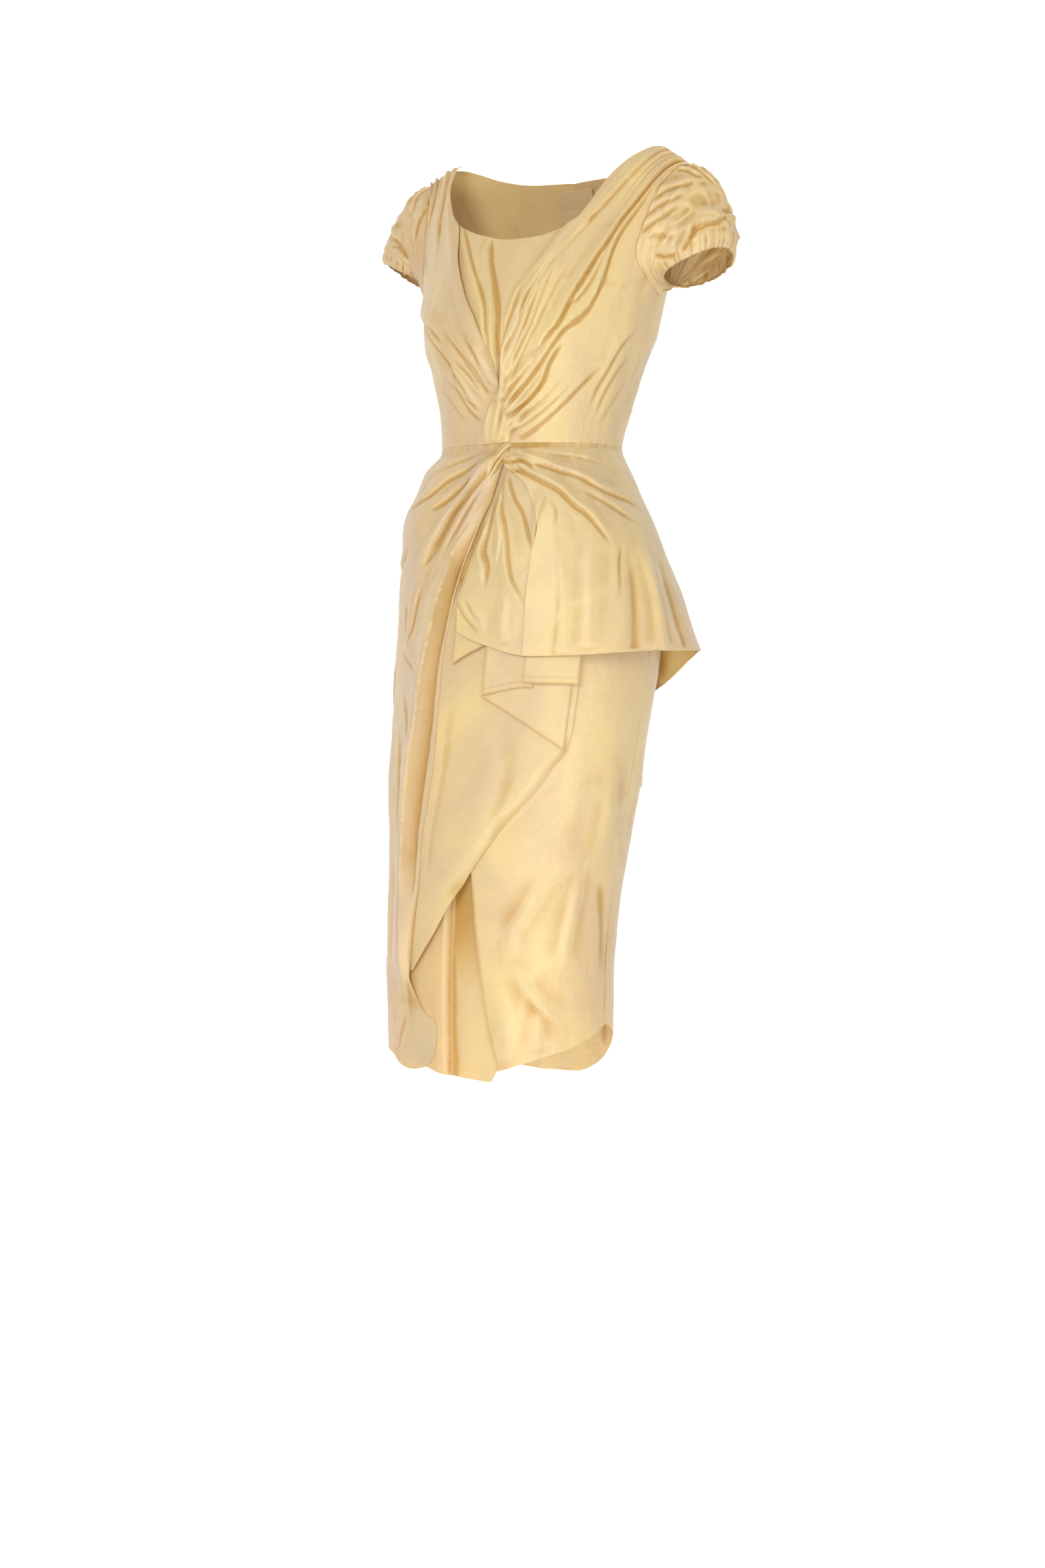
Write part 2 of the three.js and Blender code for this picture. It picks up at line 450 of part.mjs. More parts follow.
function addBodice() {
  const neckline = curve(NECKLINE);
  addWall('bodice_inset', {
    columns: 12,
    rows: 8,
    place: (u, v) => {
      const level = lerp(INSET.top, INSET.foot, v);
      const right = Math.min(rightDrapeEdge(level) - INSET.underRight, INSET.leastRight);
      const left = Math.max(leftDrapeEdge(level) + INSET.underLeft, INSET.leastLeft);
      const phi = lerp(right, left, u);
      return [phi, lerp(neckline(phi), INSET.foot, v)];
    },
    off: () => INSET.sunk,
  });
  addWall('bodice_drape_right', {
    columns: 17,
    rows: 18,
    place: (u, v) => {
      const q = bodiceRows(v);
      const outer = -SIDE_SEAM + (SIDE_SEAM - armholeFront(q)) * RIGHT_ARMHOLE_WIDTH + halfSeamDegrees;
      return [lerp(outer, rightDrapeEdge(q), u), q];
    },
    off: rightDrapeOff,
  });
  addWall('bodice_drape_left', {
    columns: 19,
    rows: 18,
    place: (u, v) => {
      const q = bodiceRows(v);
      return [lerp(leftDrapeEdge(q), armholeFront(q) - halfSeamDegrees, u), q];
    },
    off: leftDrapeOff,
  });
  const backNeckline = curve(BACK_NECKLINE);
  for (const { name, side, width } of [
    { name: 'bodice_back_left', side: 1, width: 1 },
    { name: 'bodice_back_right', side: -1, width: RIGHT_ARMHOLE_WIDTH },
  ]) {
    addWall(name, {
      columns: 8,
      rows: 16,
      place: (u, v) => {
        const level = bodiceRows(v);
        const arm = SIDE_SEAM + (armholeBack(level) - SIDE_SEAM) * width + halfSeamDegrees;
        const across = side > 0 ? u : 1 - u;
        const phi = lerp(arm, CENTRE_BACK - halfSeamDegrees, across);
        return [side * phi, Math.min(level, backNeckline(phi) - BACK_ROW_DROP * v)];
      },
      off: () => CLEAR,
    });
  }
}

function addSkirt() {
  const slit = curve(SLIT_EDGE);
  for (const { name, side, hem } of [
    { name: 'skirt_back_left', side: 1, hem: curve(BACK_HEM_LEFT) },
    { name: 'skirt_back_right', side: -1, hem: curve(BACK_HEM_RIGHT) },
  ]) {
    addWall(name, {
      columns: 7,
      rows: 14,
      place: (u, v) => {
        const across = side > 0 ? u : 1 - u;
        const phi = lerp(SIDE_SEAM + halfSeamDegrees, CENTRE_BACK - halfSeamDegrees, across);
        return [side * phi, lerp(SKIRT_TOP, hem(phi), skirtRows(v))];
      },
      off: () => CLEAR,
    });
  }
  const frontHem = curve(FRONT_HEM);
  const frontPlace = between(slit, () => SIDE_SEAM - halfSeamDegrees, SKIRT_TOP, frontHem);
  addWall('skirt_front_left', {
    columns: 9,
    rows: 15,
    place: (u, v) => frontPlace(u, skirtRows(v)),
    off: () => 0,
  });
  const underlapPlace = between(() => UNDERLAP.from, (q) => slit(q) + UNDERLAP.overlap, UNDERLAP.top,
    curve(UNDERLAP_HEM));
  addWall('skirt_underlap', {
    columns: 14,
    rows: 7,
    place: (u, v) => underlapPlace(underlapColumns(u), v),
    off: underlapOff,
    colour: COLOURS.underside,
  });
  const overlayEdge = curve(OVERLAY_EDGE);
  const overlayPlace = between((q) => wrapValley(q) - OVERLAY.tuck, overlayEdge, OVERLAY.top,
    () => OVERLAY.foot);
  addWall('skirt_overlay', {
    columns: 10,
    rows: 15,
    place: (u, v) => overlayPlace(u, skirtRows(v)),
    off: overlayOff,
  });
  const lowerEdge = curve(WRAP_LOWER_EDGE);
  const wrapPlace = between(() => -SIDE_SEAM + halfSeamDegrees,
    (q) => (q > WRAP_EDGE_JOIN ? wrapValley(q) : lowerEdge(q)), SKIRT_TOP, curve(WRAP_HEM));
  addWall('skirt_wrap', {
    columns: 20,
    rows: 21,
    place: (u, v) => wrapPlace(u, skirtRows(v)),
    off: wrapOff,
  });
}

function addPeplum() {
  const swagEdge = curve(SWAG_EDGE);
  addWall('peplum_swag', {
    columns: 12,
    rows: 10,
    place: between((q) => Math.max(swagEdge(q), wrapValley(q) + SWAG.besideWrap),
      (q) => pleatEdge(q) + SWAG.underPleat, SWAG.top, curve(SWAG_HEM)),
    off: swagOff,
  });
  addWall('peplum_main', {
    columns: 32,
    rows: 9,
    place: between(pleatEdge, () => PEPLUM_END, PEPLUM.top, peplumHemline),
    off: peplumOff,
  });
  for (const { name, from, to, top, off, hem } of TIERS) {
    const hemline = curve(hem);
    addWall(name, {
      columns: 7,
      rows: 5,
      place: (u, v) => {
        const phi = lerp(from, to, u);
        return [phi, lerp(top, hemline(phi), v)];
      },
      off: () => off,
    });
  }
}

function addKnot() {
  const across = (phi, q) => (phi - KNOT.phi) * MM_PER_DEGREE - (KNOT.lean * (q - KNOT.q)) / KNOT.high;
  const under = (phi, q) => Math.max(wrapOff(phi, q), peplumOff(phi, q), swagOff(phi, q));
  addWall('waist_knot', {
    columns: 10,
    rows: 10,
    place: (u, v) => {
      const y = 1 - 2 * v;
      const wide = KNOT.wide * Math.sin(Math.PI * (u - 0.5)) * Math.sqrt(1.02 - y * y);
      return [KNOT.phi + (wide + KNOT.lean * y) / MM_PER_DEGREE, KNOT.q + KNOT.high * y];
    },
    off: (phi, q) => under(phi, q) + CLOTH + KNOT.over,
    thick: (phi, q) => {
      const x = across(phi, q) / KNOT.wide;
      const y = (q - KNOT.q) / KNOT.high;
      const dome = Math.sqrt(Math.max(0, KNOT.roundness - x * x - y * y));
      const groove = Math.cos(KNOT.grooves * (x - KNOT.twist * y));
      return CLOTH + dome * (KNOT.bulge + KNOT.grooveDepth * groove);
    },
  });
}

/** A short puffed sleeve: gathered into the armhole and into its hem. */
function addSleeve({ name, side, width, cx, cy, cz, across, deep, tilt, lean, puff }) {
  const outward = new THREE.Vector3(side, 0, 0);
  const centre = new THREE.Vector3(cx, cy, cz);
  const armhole = (angle) => {
    const level = lerp(SLEEVE.top, SLEEVE.bottom, (1 - Math.cos(angle)) / 2);
    const edge = Math.sin(angle) >= 0 ? armholeFront(level) : armholeBack(level);
    return offBody(side * (SIDE_SEAM + (edge - SIDE_SEAM) * width), level, SLEEVE.offForm);
  };
  const middle = armhole(Math.PI / 2).add(armhole(-Math.PI / 2)).multiplyScalar(0.5);
  const hem = (angle) => new THREE.Vector3(
    cx + side * across * Math.cos(angle),
    cy - deep * Math.sin(angle),
    cz + tilt * Math.cos(angle) + lean * Math.sin(angle),
  );
  const skin = (angle, t) => {
    const top = (1 + Math.cos(angle)) / 2;
    const from = armhole(angle);
    const inset = SLEEVE.inset + SLEEVE.shoulderInset * top ** 4;
    from.addScaledVector(middle.clone().sub(from).normalize(), inset);
    from.addScaledVector(outward, SLEEVE.outside);
    const to = hem(angle);
    const radial = to.clone().sub(centre).normalize();
    const leave = outward.clone().multiplyScalar(SLEEVE.leave + SLEEVE.leaveTop * top);
    leave.addScaledVector(radial, SLEEVE.leaveOut);
    leave.z -= SLEEVE.leaveSink * top;
    const arrive = radial.clone().multiplyScalar(-SLEEVE.arrive - puff * top);
    arrive.z -= SLEEVE.arriveDown + puff * top;
    const gather = -SLEEVE.waveHeight * Math.cos(SLEEVE.waves * angle) * Math.sin(Math.PI * t);
    return from.multiplyScalar(2 * t ** 3 - 3 * t ** 2 + 1)
      .addScaledVector(leave, SLEEVE.reach * (t ** 3 - 2 * t ** 2 + t))
      .addScaledVector(to, 3 * t ** 2 - 2 * t ** 3)
      .addScaledVector(arrive, SLEEVE.reach * (t ** 3 - t ** 2))
      .addScaledVector(radial, gather * lerp(SLEEVE.leastWave, 1, top));
  };
  const { columns, rows } = SLEEVE;
  const turn = 0.02;    // half steps for the normal, round the sleeve and along it
  const along = 0.01;
  const layer = (half) => range(columns).map((i) => range(rows + 1).map((j) => {
    const angle = (-side * i * 2 * Math.PI) / columns;
    const t = clamp(j / rows, along, 1 - along);
    const round = skin(angle - side * turn, t).sub(skin(angle + side * turn, t));
    const down = skin(angle, t + along).sub(skin(angle, t - along));
    const normal = down.cross(round).normalize();
    return skin(angle, j / rows).addScaledVector(normal, half);
  }));
  addPiece(name, gridSolid(layer(CLOTH / 2), layer(-CLOTH / 2), true), COLOURS.cloth);
}

function addZip() {
  addWall('back_zip', {
    columns: 2,
    rows: 24,
    place: (u, v) => [CENTRE_BACK + lerp(-ZIP.halfWidth, ZIP.halfWidth, u), lerp(ZIP.top, ZIP.foot, v)],
    off: () => -CLOTH - ZIP.gap,
    colour: COLOURS.zip,
  });
}

addBodice();
addSkirt();
addPeplum();
addKnot();
addZip();
for (const sleeve of SLEEVES) addSleeve(sleeve);

export default dress;
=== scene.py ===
"""A draped taffeta cocktail dress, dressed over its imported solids.

Lengths in the tables are millimetres in the part's frame: +X the wearer's left, -Y the front,
+Z up, the origin at the level of the shoulder tops. phi is the angle round the body in degrees
(0 front, 90 the wearer's left side, 180 back) and q the level on the body form.
"""

import math

import bpy
import numpy as np
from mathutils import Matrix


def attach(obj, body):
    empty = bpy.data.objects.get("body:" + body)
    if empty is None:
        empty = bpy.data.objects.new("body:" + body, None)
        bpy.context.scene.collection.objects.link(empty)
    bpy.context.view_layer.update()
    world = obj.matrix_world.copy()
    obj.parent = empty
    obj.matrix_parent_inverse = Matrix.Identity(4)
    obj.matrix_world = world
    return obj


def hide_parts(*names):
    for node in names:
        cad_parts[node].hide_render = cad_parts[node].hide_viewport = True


bl_info = {
    "name": "Draped Cocktail Dress",
    "version": (1, 0, 0),
    "blender": (4, 5, 0),
    "location": "View3D > Sidebar > Dress",
    "description": "Lays taffeta shells with pleats, gathers and seams over a packed dress",
    "category": "Object",
}

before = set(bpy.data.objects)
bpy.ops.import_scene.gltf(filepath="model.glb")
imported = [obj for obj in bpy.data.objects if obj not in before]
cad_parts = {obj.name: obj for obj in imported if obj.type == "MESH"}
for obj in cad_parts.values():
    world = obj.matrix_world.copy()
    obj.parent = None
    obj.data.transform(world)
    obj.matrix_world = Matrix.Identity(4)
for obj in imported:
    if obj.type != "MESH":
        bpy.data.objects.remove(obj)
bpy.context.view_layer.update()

MM = 0.001
BODY = "root"

# ---------- driving sizes, as in the part's source ----------

WALL = 1.5  # the solids' wall
LAYER = 0.7  # gap between layers that lie on each other
SHELL = 0.7  # thickness of a visible cloth shell
SECTION_POWER = 2.25
YOKE = -195
YOKE_FRONT_ROUND = 1.45
YOKE_BACK_ROUND = 1.9
WAIST = -322
SIDE_SEAM = 90
PEPLUM_HEM = -561
PEPLUM_END = 177
RIGHT_ARMHOLE_WIDTH = 0.78
SEAM_SINK = 0.6  # how far the cloth turns in along a seam
SEAM_TURN = 1.3  # and how wide that turn is
CLEAR = 0.3
OVER_ONE = WALL + LAYER
TUCK = 2.4  # how far a hidden top edge is sunk
INSET_SUNK = -1.6
BACK_ROW_DROP = 8
MM_PER_DEGREE = 2.0  # at the waist
DEGREE_SHARE = 0.0172  # width of one degree of phi as a share of the half width
WIDEST_TOP = -60  # above this level a degree keeps its width
MAP_MM = 2.3  # width of one degree of phi on the cloth's own map
HANG_START = WAIST - 13  # from here the peplum leaves the body
CLOSE_TO_BODY = -1.6  # how deep a fold may sink
LATTICE = 64  # cells of the noise before it repeats
SMOOTH_DEGREES = 55  # flatter edges than this are shaded smooth
PATH_STEPS = 28  # points along a fold's smooth line

# Sections of the form: level, half width, depth to the front and to the back, centre.
SECTIONS = [
    dict(z=-1080, half=135, front=104, back=98, cx=-26, cy=-30),
    dict(z=-940, half=135, front=106, back=98, cx=-27, cy=-28),
    dict(z=-820, half=139, front=110, back=102, cx=-22, cy=-24),
    dict(z=-700, half=149, front=114, back=110, cx=-14, cy=-18),
    dict(z=-580, half=156, front=115, back=120, cx=-4, cy=-12),
    dict(z=-510, half=158, front=112, back=120, cx=0, cy=-8),
    dict(z=-440, half=148, front=104, back=112, cx=1, cy=-4),
    dict(z=-370, half=123, front=92, back=92, cx=-1, cy=-2),
    dict(z=-325, half=106, front=82, back=79, cx=-2, cy=0),
    dict(z=-290, half=110, front=87, back=84, cx=-1, cy=4),
    dict(z=-240, half=122, front=103, back=92, cx=0, cy=11),
    dict(z=-195, half=137, front=113, back=98, cx=1, cy=18),
    dict(z=-150, half=151, front=112, back=100, cx=4, cy=24),
    dict(z=-100, half=168, front=110, back=100, cx=10, cy=30),
    dict(z=0, half=180, front=110, back=100, cx=16, cy=34),
]
# The shoulder line: x from the middle of the body, height.
SHOULDER_LINE = [(-196, -24), (-178, -4), (-155, 8), (-136, 14), (-105, 19), (0, 24),
                 (105, 16), (134, 8), (155, -4), (174, -18), (196, -38)]

# Edges: q, phi, from the bottom up.
RIGHT_DRAPE_EDGE = [(-322, 1), (-290, 2), (-256, 2), (-232, 0), (-195, -6), (-172, -15),
                    (-146, -23), (-118, -28), (-104, -34), (-63, -42), (-8, -44), (0, -44)]
LEFT_DRAPE_EDGE = [(-322, -6), (-307, -6), (-285, -3), (-258, 3), (-233, 4), (-190, 5),
                   (-167, 8), (-153, 14), (-127, 20), (-121, 24), (-106, 26), (-84, 29),
                   (-58, 34), (-41, 38), (-8, 44), (0, 47)]
ARMHOLE_FRONT = [(-168, 90), (-165, 84), (-158, 73), (-149, 64), (-135, 59), (-110, 57),
                 (-85, 58), (-50, 61), (-22, 66), (0, 73)]
ARMHOLE_BACK = [(-168, 90), (-165, 97), (-158, 106), (-146, 113), (-125, 117), (-95, 119),
                (-60, 117), (-25, 112), (0, 107)]
WRAP_CREST = [(-1050, -29), (-925, -28), (-850, -29), (-773, -29), (-719, -28), (-671, -26),
              (-632, -24), (-595, -23), (-561, -21), (-531, -19), (-500, -17), (-473, -14),
              (-446, -12), (-419, -7), (-384, -3), (-357, 0), (-322, 3)]
WRAP_VALLEY = [(-923, -25), (-872, -23), (-818, -20), (-771, -19), (-725, -16), (-671, -14),
               (-574, -14), (-504, -11), (-463, -8), (-428, -4), (-388, 1), (-357, 4), (-322, 8)]
WRAP_LOWER_EDGE = [(-1050, -12), (-1035, -11), (-1008, -9), (-993, -10), (-975, -14),
                   (-953, -20), (-925, -25)]
OVERLAY_EDGE = [(-925, -24), (-902, -17), (-876, -10), (-832, -1), (-796, 6), (-749, 18),
                (-708, 31), (-681, 38), (-665, 43), (-640, 44), (-335, 45)]
SLIT_EDGE = [(-1050, 19), (-1030, 19), (-1002, 16), (-964, 13), (-896, 9), (-843, 6),
             (-798, 4), (-700, 2), (-500, -4), (-322, -8)]
SWAG_EDGE = [(-561, -4), (-533, -7), (-500, -8), (-465, -7), (-428, -3), (-388, 2), (-340, 7)]
PLEAT_EDGE = [(-561, 19), (-501, 18), (-452, 19), (-416, 22), (-380, 19), (-350, 14), (-322, 11)]
# Hems and top edges: phi, q.
NECKLINE = [(-36, -104), (-31, -112), (-27, -117), (-15, -127), (0, -134), (9, -133),
            (18, -127), (24, -121), (28, -104)]
BACK_NECKLINE = [(129, 0), (135, -15), (142, -35), (152, -52), (165, -62), (180, -66)]
WRAP_HEM = [(-90, -1036), (-75, -1034), (-60, -1030), (-46, -1030), (-37, -1038),
            (-27, -1041), (-16, -1035), (-10, -1018)]
FRONT_HEM = [(10, -1034), (19, -1031), (28, -1024), (38, -1017), (48, -1011), (58, -1007),
             (90, -986)]
BACK_HEM_LEFT = [(90, -986), (100, -994), (111, -1004), (128, -1030), (145, -1056),
                 (160, -1070), (180, -1074)]
BACK_HEM_RIGHT = [(90, -1036), (120, -1052), (150, -1067), (180, -1074)]
UNDERLAP_HEM = [(-32, -1028), (-16, -1035), (0, -1045), (14, -1046), (18, -1032), (28, -1016)]
PEPLUM_HEMLINE = [(11, -561), (31, -560), (59, -555), (74, -552), (111, -550), (120, -560),
                  (132, -590), (150, -618), (177, -620)]
SWAG_HEM = [(-8, -533), (3, -549), (18, -560), (26, -561)]
PEPLUM_FLARE = [(11, 17), (28, 18), (45, 20), (60, 22), (80, 30), (98, 40), (111, 46),
                (122, 38), (135, 22), (150, 14), (177, 7)]
# How far the wrap stands off the body at the wearer's right: q, mm.
WRAP_LIFT = [(-1050, 2), (-1012, 3), (-942, 3.5), (-818, 3), (-740, 3), (-680, 1.5),
             (-620, 1), (-542, 1), (-505, 2.5), (-472, 5), (-442, 10), (-412, 16),
             (-375, 12), (-342, 11), (-322, 1)]

# The cut of each piece as it shows: the solid it stands for, its flat size and area in metres
# and how it is held.
CUTS = {
    "inset_front": dict(node="bodice_inset", wide=0.2, long=0.16, area=0.0198, held="stretched"),
    "drape_right": dict(node="bodice_drape_right", wide=0.23, long=0.36, area=0.05, held="draped"),
    "drape_left": dict(node="bodice_drape_left", wide=0.25, long=0.36, area=0.055, held="draped"),
    "back_left": dict(node="bodice_back_left", wide=0.23, long=0.4, area=0.058, held="stretched"),
    "back_right": dict(node="bodice_back_right", wide=0.23, long=0.4, area=0.059, held="stretched"),
    "skirt_left_back": dict(node="skirt_back_left", wide=0.24, long=0.76, area=0.148, held="hung"),
    "skirt_right_back": dict(node="skirt_back_right", wide=0.24, long=0.76, area=0.151, held="hung"),
    "skirt_left_front": dict(node="skirt_front_left", wide=0.26, long=0.72, area=0.14, held="hung"),
    "underlap": dict(node="skirt_underlap", wide=0.15, long=0.29, area=0.034, held="hung"),
    "overlay": dict(node="skirt_overlay", wide=0.22, long=0.6, area=0.076, held="draped"),
    "wrap": dict(node="skirt_wrap", wide=0.26, long=0.78, area=0.135, held="draped"),
    "peplum": dict(node="peplum_main", wide=0.48, long=0.32, area=0.105, held="gathered"),
    "swag": dict(node="peplum_swag", wide=0.12, long=0.25, area=0.0185, held="gathered"),
    "tier_side": dict(node="peplum_tier_side", wide=0.066, long=0.11, area=0.0065, held="hung"),
    "tier_front": dict(node="peplum_tier_front", wide=0.065, long=0.13, area=0.0073, held="hung"),
    "point": dict(node="peplum_point", wide=0.11, long=0.15, area=0.0119, held="hung"),
    "corner": dict(node="peplum_corner", wide=0.045, long=0.075, area=0.0026, held="hung"),
    "knot": dict(node="waist_knot", wide=0.035, long=0.05, area=0.0012, held="gathered"),
    "puff_left": dict(node="sleeve_left", wide=0.36, long=0.13, area=0.028, held="gathered"),
    "puff_right": dict(node="sleeve_right", wide=0.34, long=0.13, area=0.027, held="gathered"),
}

# Columns and rows of each piece's grid.
GRIDS = {
    "inset_front": (110, 90), "drape_right": (130, 220), "drape_left": (150, 230),
    "back_left": (40, 90), "back_right": (40, 90), "skirt_left_back": (40, 130),
    "skirt_right_back": (40, 130), "skirt_left_front": (56, 150), "underlap": (80, 66),
    "overlay": (46, 130), "wrap": (150, 250), "peplum": (190, 120), "swag": (66, 150),
    "tier_side": (36, 42), "tier_front": (36, 42), "point": (36, 42), "corner": (36, 42),
    "knot": (70, 80), "puff_left": (260, 76), "puff_right": (260, 76),
}

# Each sleeve: its side, where its hem's ring lies and how wide and deep that is, how the ring
# tilts and leans, how full the puff is and how far the hem drops at the front.
SLEEVES = [
    dict(name="sleeve_left", side=1, width=1, cx=193, cy=34, cz=-124, across=38, deep=46,
         tilt=15, lean=7, puff=20, front_drop=7, seed=11),
    dict(name="sleeve_right", side=-1, width=RIGHT_ARMHOLE_WIDTH, cx=-186, cy=48, cz=-110,
         across=35, deep=46, tilt=17, lean=12, puff=14, front_drop=4, seed=23),
]
# How a sleeve's cloth leaves the armhole and comes to the hem, in millimetres. Words with top
# are added at the shoulder.
PUFF = dict(off=0.4, out=24, out_top=22, spread=10, fall_top=6, turn_in=8, down=10)
# Heights of a sleeve's small forms: gathers at the hem and the cap, crushing, the fullness past
# the armhole and the step in at the hem's casing.
GATHERS = dict(hem=1.9, cap=1.4, crush=1.9, crush_top=2.2, fullness=0.9, casing=1.6)
SLEEVE_REACH = 1.6  # how far the cloth keeps to those ways
SLEEVE_MM = 0.79  # cloth width of one degree round a sleeve
SLEEVE_LENGTH = 110
ARMHOLE_TOP = -3
ARMHOLE_BOTTOM = -168.6
ARMHOLE_INSET = -0.5
ARMHOLE_OUT = 0.3
SHOULDER_INSET = 1.5

KNOT = dict(phi=3, q=-344, wide=9, high=23, lean=7, over=-0.6, bulge=8, groove=4.0, strands=4.2,
            twist=0.55, roundness=1.05)
INSET = dict(top=-112, foot=-262, under=6)
OVERLAY = dict(under=1.5, foot=-924, edge=1.5)
# The pleat in the slit: it stands forward, drops between two places and comes back behind.
UNDERLAP = dict(start=-31, overlap=7, head=-772, drop=10, drop_start=-7, drop_end=-3.5,
                back_run=24, back=0.45, top=-785, run=60, rise=2.6)
# The wrap's recess between its standing fold and the band along its edge, as levels and as the
# share of the way across at which the band begins.
RECESS = dict(top=-404, foot=-850, fade=70, band=0.7, floor=-2.0)
# The wrap's standing fold: how far it, its ridge and its lip stand out, how far the last two
# reach, and the level of the band beside it. It closes towards the hem.
STANDING_FOLD = dict(close=-905, close_run=60, out=4, ridge=9, ridge_reach=20, lip=2.0,
                     lip_reach=2.2, lip_top=-400, band=6.2, band_top=-520)
WRAP_ROWS = [(0, 0), (0.55, 0.36), (1, 1)]
PLEATED_SHARE = 1.25  # crowds the left drape's columns towards its pleats

# The layers that hang below the peplum's hem.
TIERS = [
    dict(name="tier_side", start=19.5, end=43.5, top=-490, off=10.4, ripple=0.3, stitched=True,
         hem=[(19, -590), (44, -591)]),
    dict(name="tier_front", start=3.8, end=24, top=-480, off=8.3, ripple=0.8, stitched=True,
         hem=[(3, -605), (22, -595), (24, -595)]),
    dict(name="point", start=3.5, end=41, top=-520, off=6.4, ripple=0.3, stitched=False,
         hem=[(3, -606), (41, -664)]),
    dict(name="corner", start=-8.5, end=3, top=-500, off=7.4, ripple=0.4, stitched=False,
         hem=[(-9, -572), (3, -549)]),
]
PEPLUM_UNDER_KNOT = 8
SWAG_TOP = -330
SWAG_HANG = 7.5
SWAG_START = 3.2  # its level where it comes out from under the wrap
STITCH = dict(rows=(6.4, 8.2), pitch=3.0, share=0.72, thread=0.35, proud=0.1)
# Painted shade in the folds: the near and far smoothing steps and depths, and the share of darker
# colour that each paints.
HOLLOW_SHADE = dict(near_steps=16, near_mm=1.0, far_steps=200, far_mm=12.0, near_share=0.85,
              far_share=0.5)
ZIP_COLOUR = (0.72, 0.53, 0.27, 1)
THREAD_COLOUR = (0.62, 0.45, 0.22, 1)
PLAIN_ROUGHNESS = 0.6  # of the threads and the tape

# The two cloths: name, and the least and the largest share of beige threads. The beige side's larger
# share is painted shade and shot-colour shift on the side turned from the light.
CLOTH_KINDS = {"yellow": ("Taffeta", 0.0, 0.7), "beige": ("Taffeta, beige side", 0.45, 1.0)}
# Noises over the cloth's map, with their swings to the metre along and across the cloth.
CLOTH_NOISES = {
    "weft slubs": dict(along=20, across=1300, Detail=3.0, Roughness=0.6),
    "warp ends": dict(along=1500, across=14, Detail=2.0, Roughness=0.6),
    "thick weft": dict(along=6, across=240, Detail=2.0),
    "shot colour drift": dict(along=16, across=7, Detail=3.0, Roughness=0.5, Distortion=0.4),
    "crushing": dict(along=75, across=55, Detail=2.5, Roughness=0.5, Distortion=0.6),
}
CLOTH_SHADING = {
    "Specular IOR Level": 0.65,
    "Specular Tint": (1.0, 0.94, 0.84, 1),
    "Subsurface Radius": (1.0, 0.6, 0.2),
    "Subsurface Scale": 0.004,
    "Sheen Roughness": 0.35,
    "Sheen Tint": (1.0, 0.95, 0.92, 1),
}

CAMERA = dict(azimuth=28, distance=2.324, height=-0.511, down=5, sensor=36, focal_px=2955,
              long_side_px=2352, aim_px=16)
BACKDROP = dict(behind=4.0, floor=60, wall=16, colour=(0.9, 0.9, 0.9, 1), roughness=0.9)
AIR_COLOUR = (1, 0.97, 0.92, 1)  # of the light from all round
AIM_LEVEL = -0.5
# Lamps: each takes its power from the stage's setting of the same name.
LIGHTS = [
    dict(name="key", azimuth=6, away=2.7, z=0.5, wide=1.0, high=1.2),
    dict(name="fill", azimuth=80, away=2.6, z=0.2, wide=1.4, high=2.0),
    dict(name="foot", azimuth=34, away=2.0, z=-1.25, wide=1.4, high=0.4),
    dict(name="under", azimuth=0, away=0.0, z=-1.3, wide=0.3, high=0.3),
    dict(name="rim", azimuth=-98, away=1.9, z=0.1, wide=0.7, high=2.0),
]


# ---------- small maths ----------


def ease(x):
    """0 below 0, 1 above 1 and a smooth step between."""
    x = np.clip(x, 0, 1)
    return x * x * (3 - 2 * x)


def rising(x, start, run):
    """0 up to a start and 1 from a run beyond it."""
    return ease((x - start) / run)


def falling(x, start, run):
    """1 up to a run before a start and 0 from the start on."""
    return ease((start - x) / run)


def hump(x, reach):
    """1 at 0, dying away over a reach to both sides."""
    return np.exp(-((x / reach) ** 2))


def lerp(a, b, t):
    return a + (b - a) * t


def curve(rows):
    """A smooth curve through (x, y) rows that never overshoots them."""
    xs, ys = np.array(rows, float).T
    step = np.diff(ys) / np.diff(xs)
    slope = np.zeros(len(xs))
    slope[0], slope[-1] = step[0], step[-1]
    product = step[:-1] * step[1:]
    total = step[:-1] + step[1:]
    slope[1:-1] = np.where(product > 0, 2 * product / np.where(total == 0, 1, total), 0)

    def at(x):
        x = np.clip(np.asarray(x, float), xs[0], xs[-1])
        i = np.clip(np.searchsorted(xs, x, side="right") - 1, 0, len(xs) - 2)
        width = xs[i + 1] - xs[i]
        t = (x - xs[i]) / width
        rise = slope[i] * width * t * (1 - t) ** 2 - slope[i + 1] * width * t**2 * (1 - t)
        return lerp(ys[i], ys[i + 1], t * t * (3 - 2 * t)) + rise

    return at


def value_noise(x, y, seed):
    """Smooth noise from -1 to 1 with one swing for each unit of x and y."""
    lattice = np.random.default_rng(seed).uniform(-1, 1, (LATTICE, LATTICE))
    i, j = np.floor(x).astype(int), np.floor(y).astype(int)
    fx, fy = ease(x - i), ease(y - j)
    near, far = j % LATTICE, (j + 1) % LATTICE
    left, right = i % LATTICE, (i + 1) % LATTICE
    low = lerp(lattice[left, near], lattice[right, near], fx)
    high = lerp(lattice[left, far], lattice[right, far], fx)
    return lerp(low, high, fy)


def crumple(x, y, seed):
    """Taffeta's own small facets: soft swells cut by a few sharp creases, from -1 to 1."""
    soft = value_noise(x, y, seed) + 0.5 * value_noise(2.1 * x, 2.1 * y, seed + 1)
    crease = 1 - 2 * np.abs(value_noise(0.8 * x + 0.3 * y, 0.9 * y, seed + 2))
    return 0.38 * soft + 0.5 * crease * np.abs(crease)


# ---------- the body form ----------


def section_curve(key):
    """One column of the sections as a curve over the level."""
    return curve([(row["z"], row[key]) for row in SECTIONS])


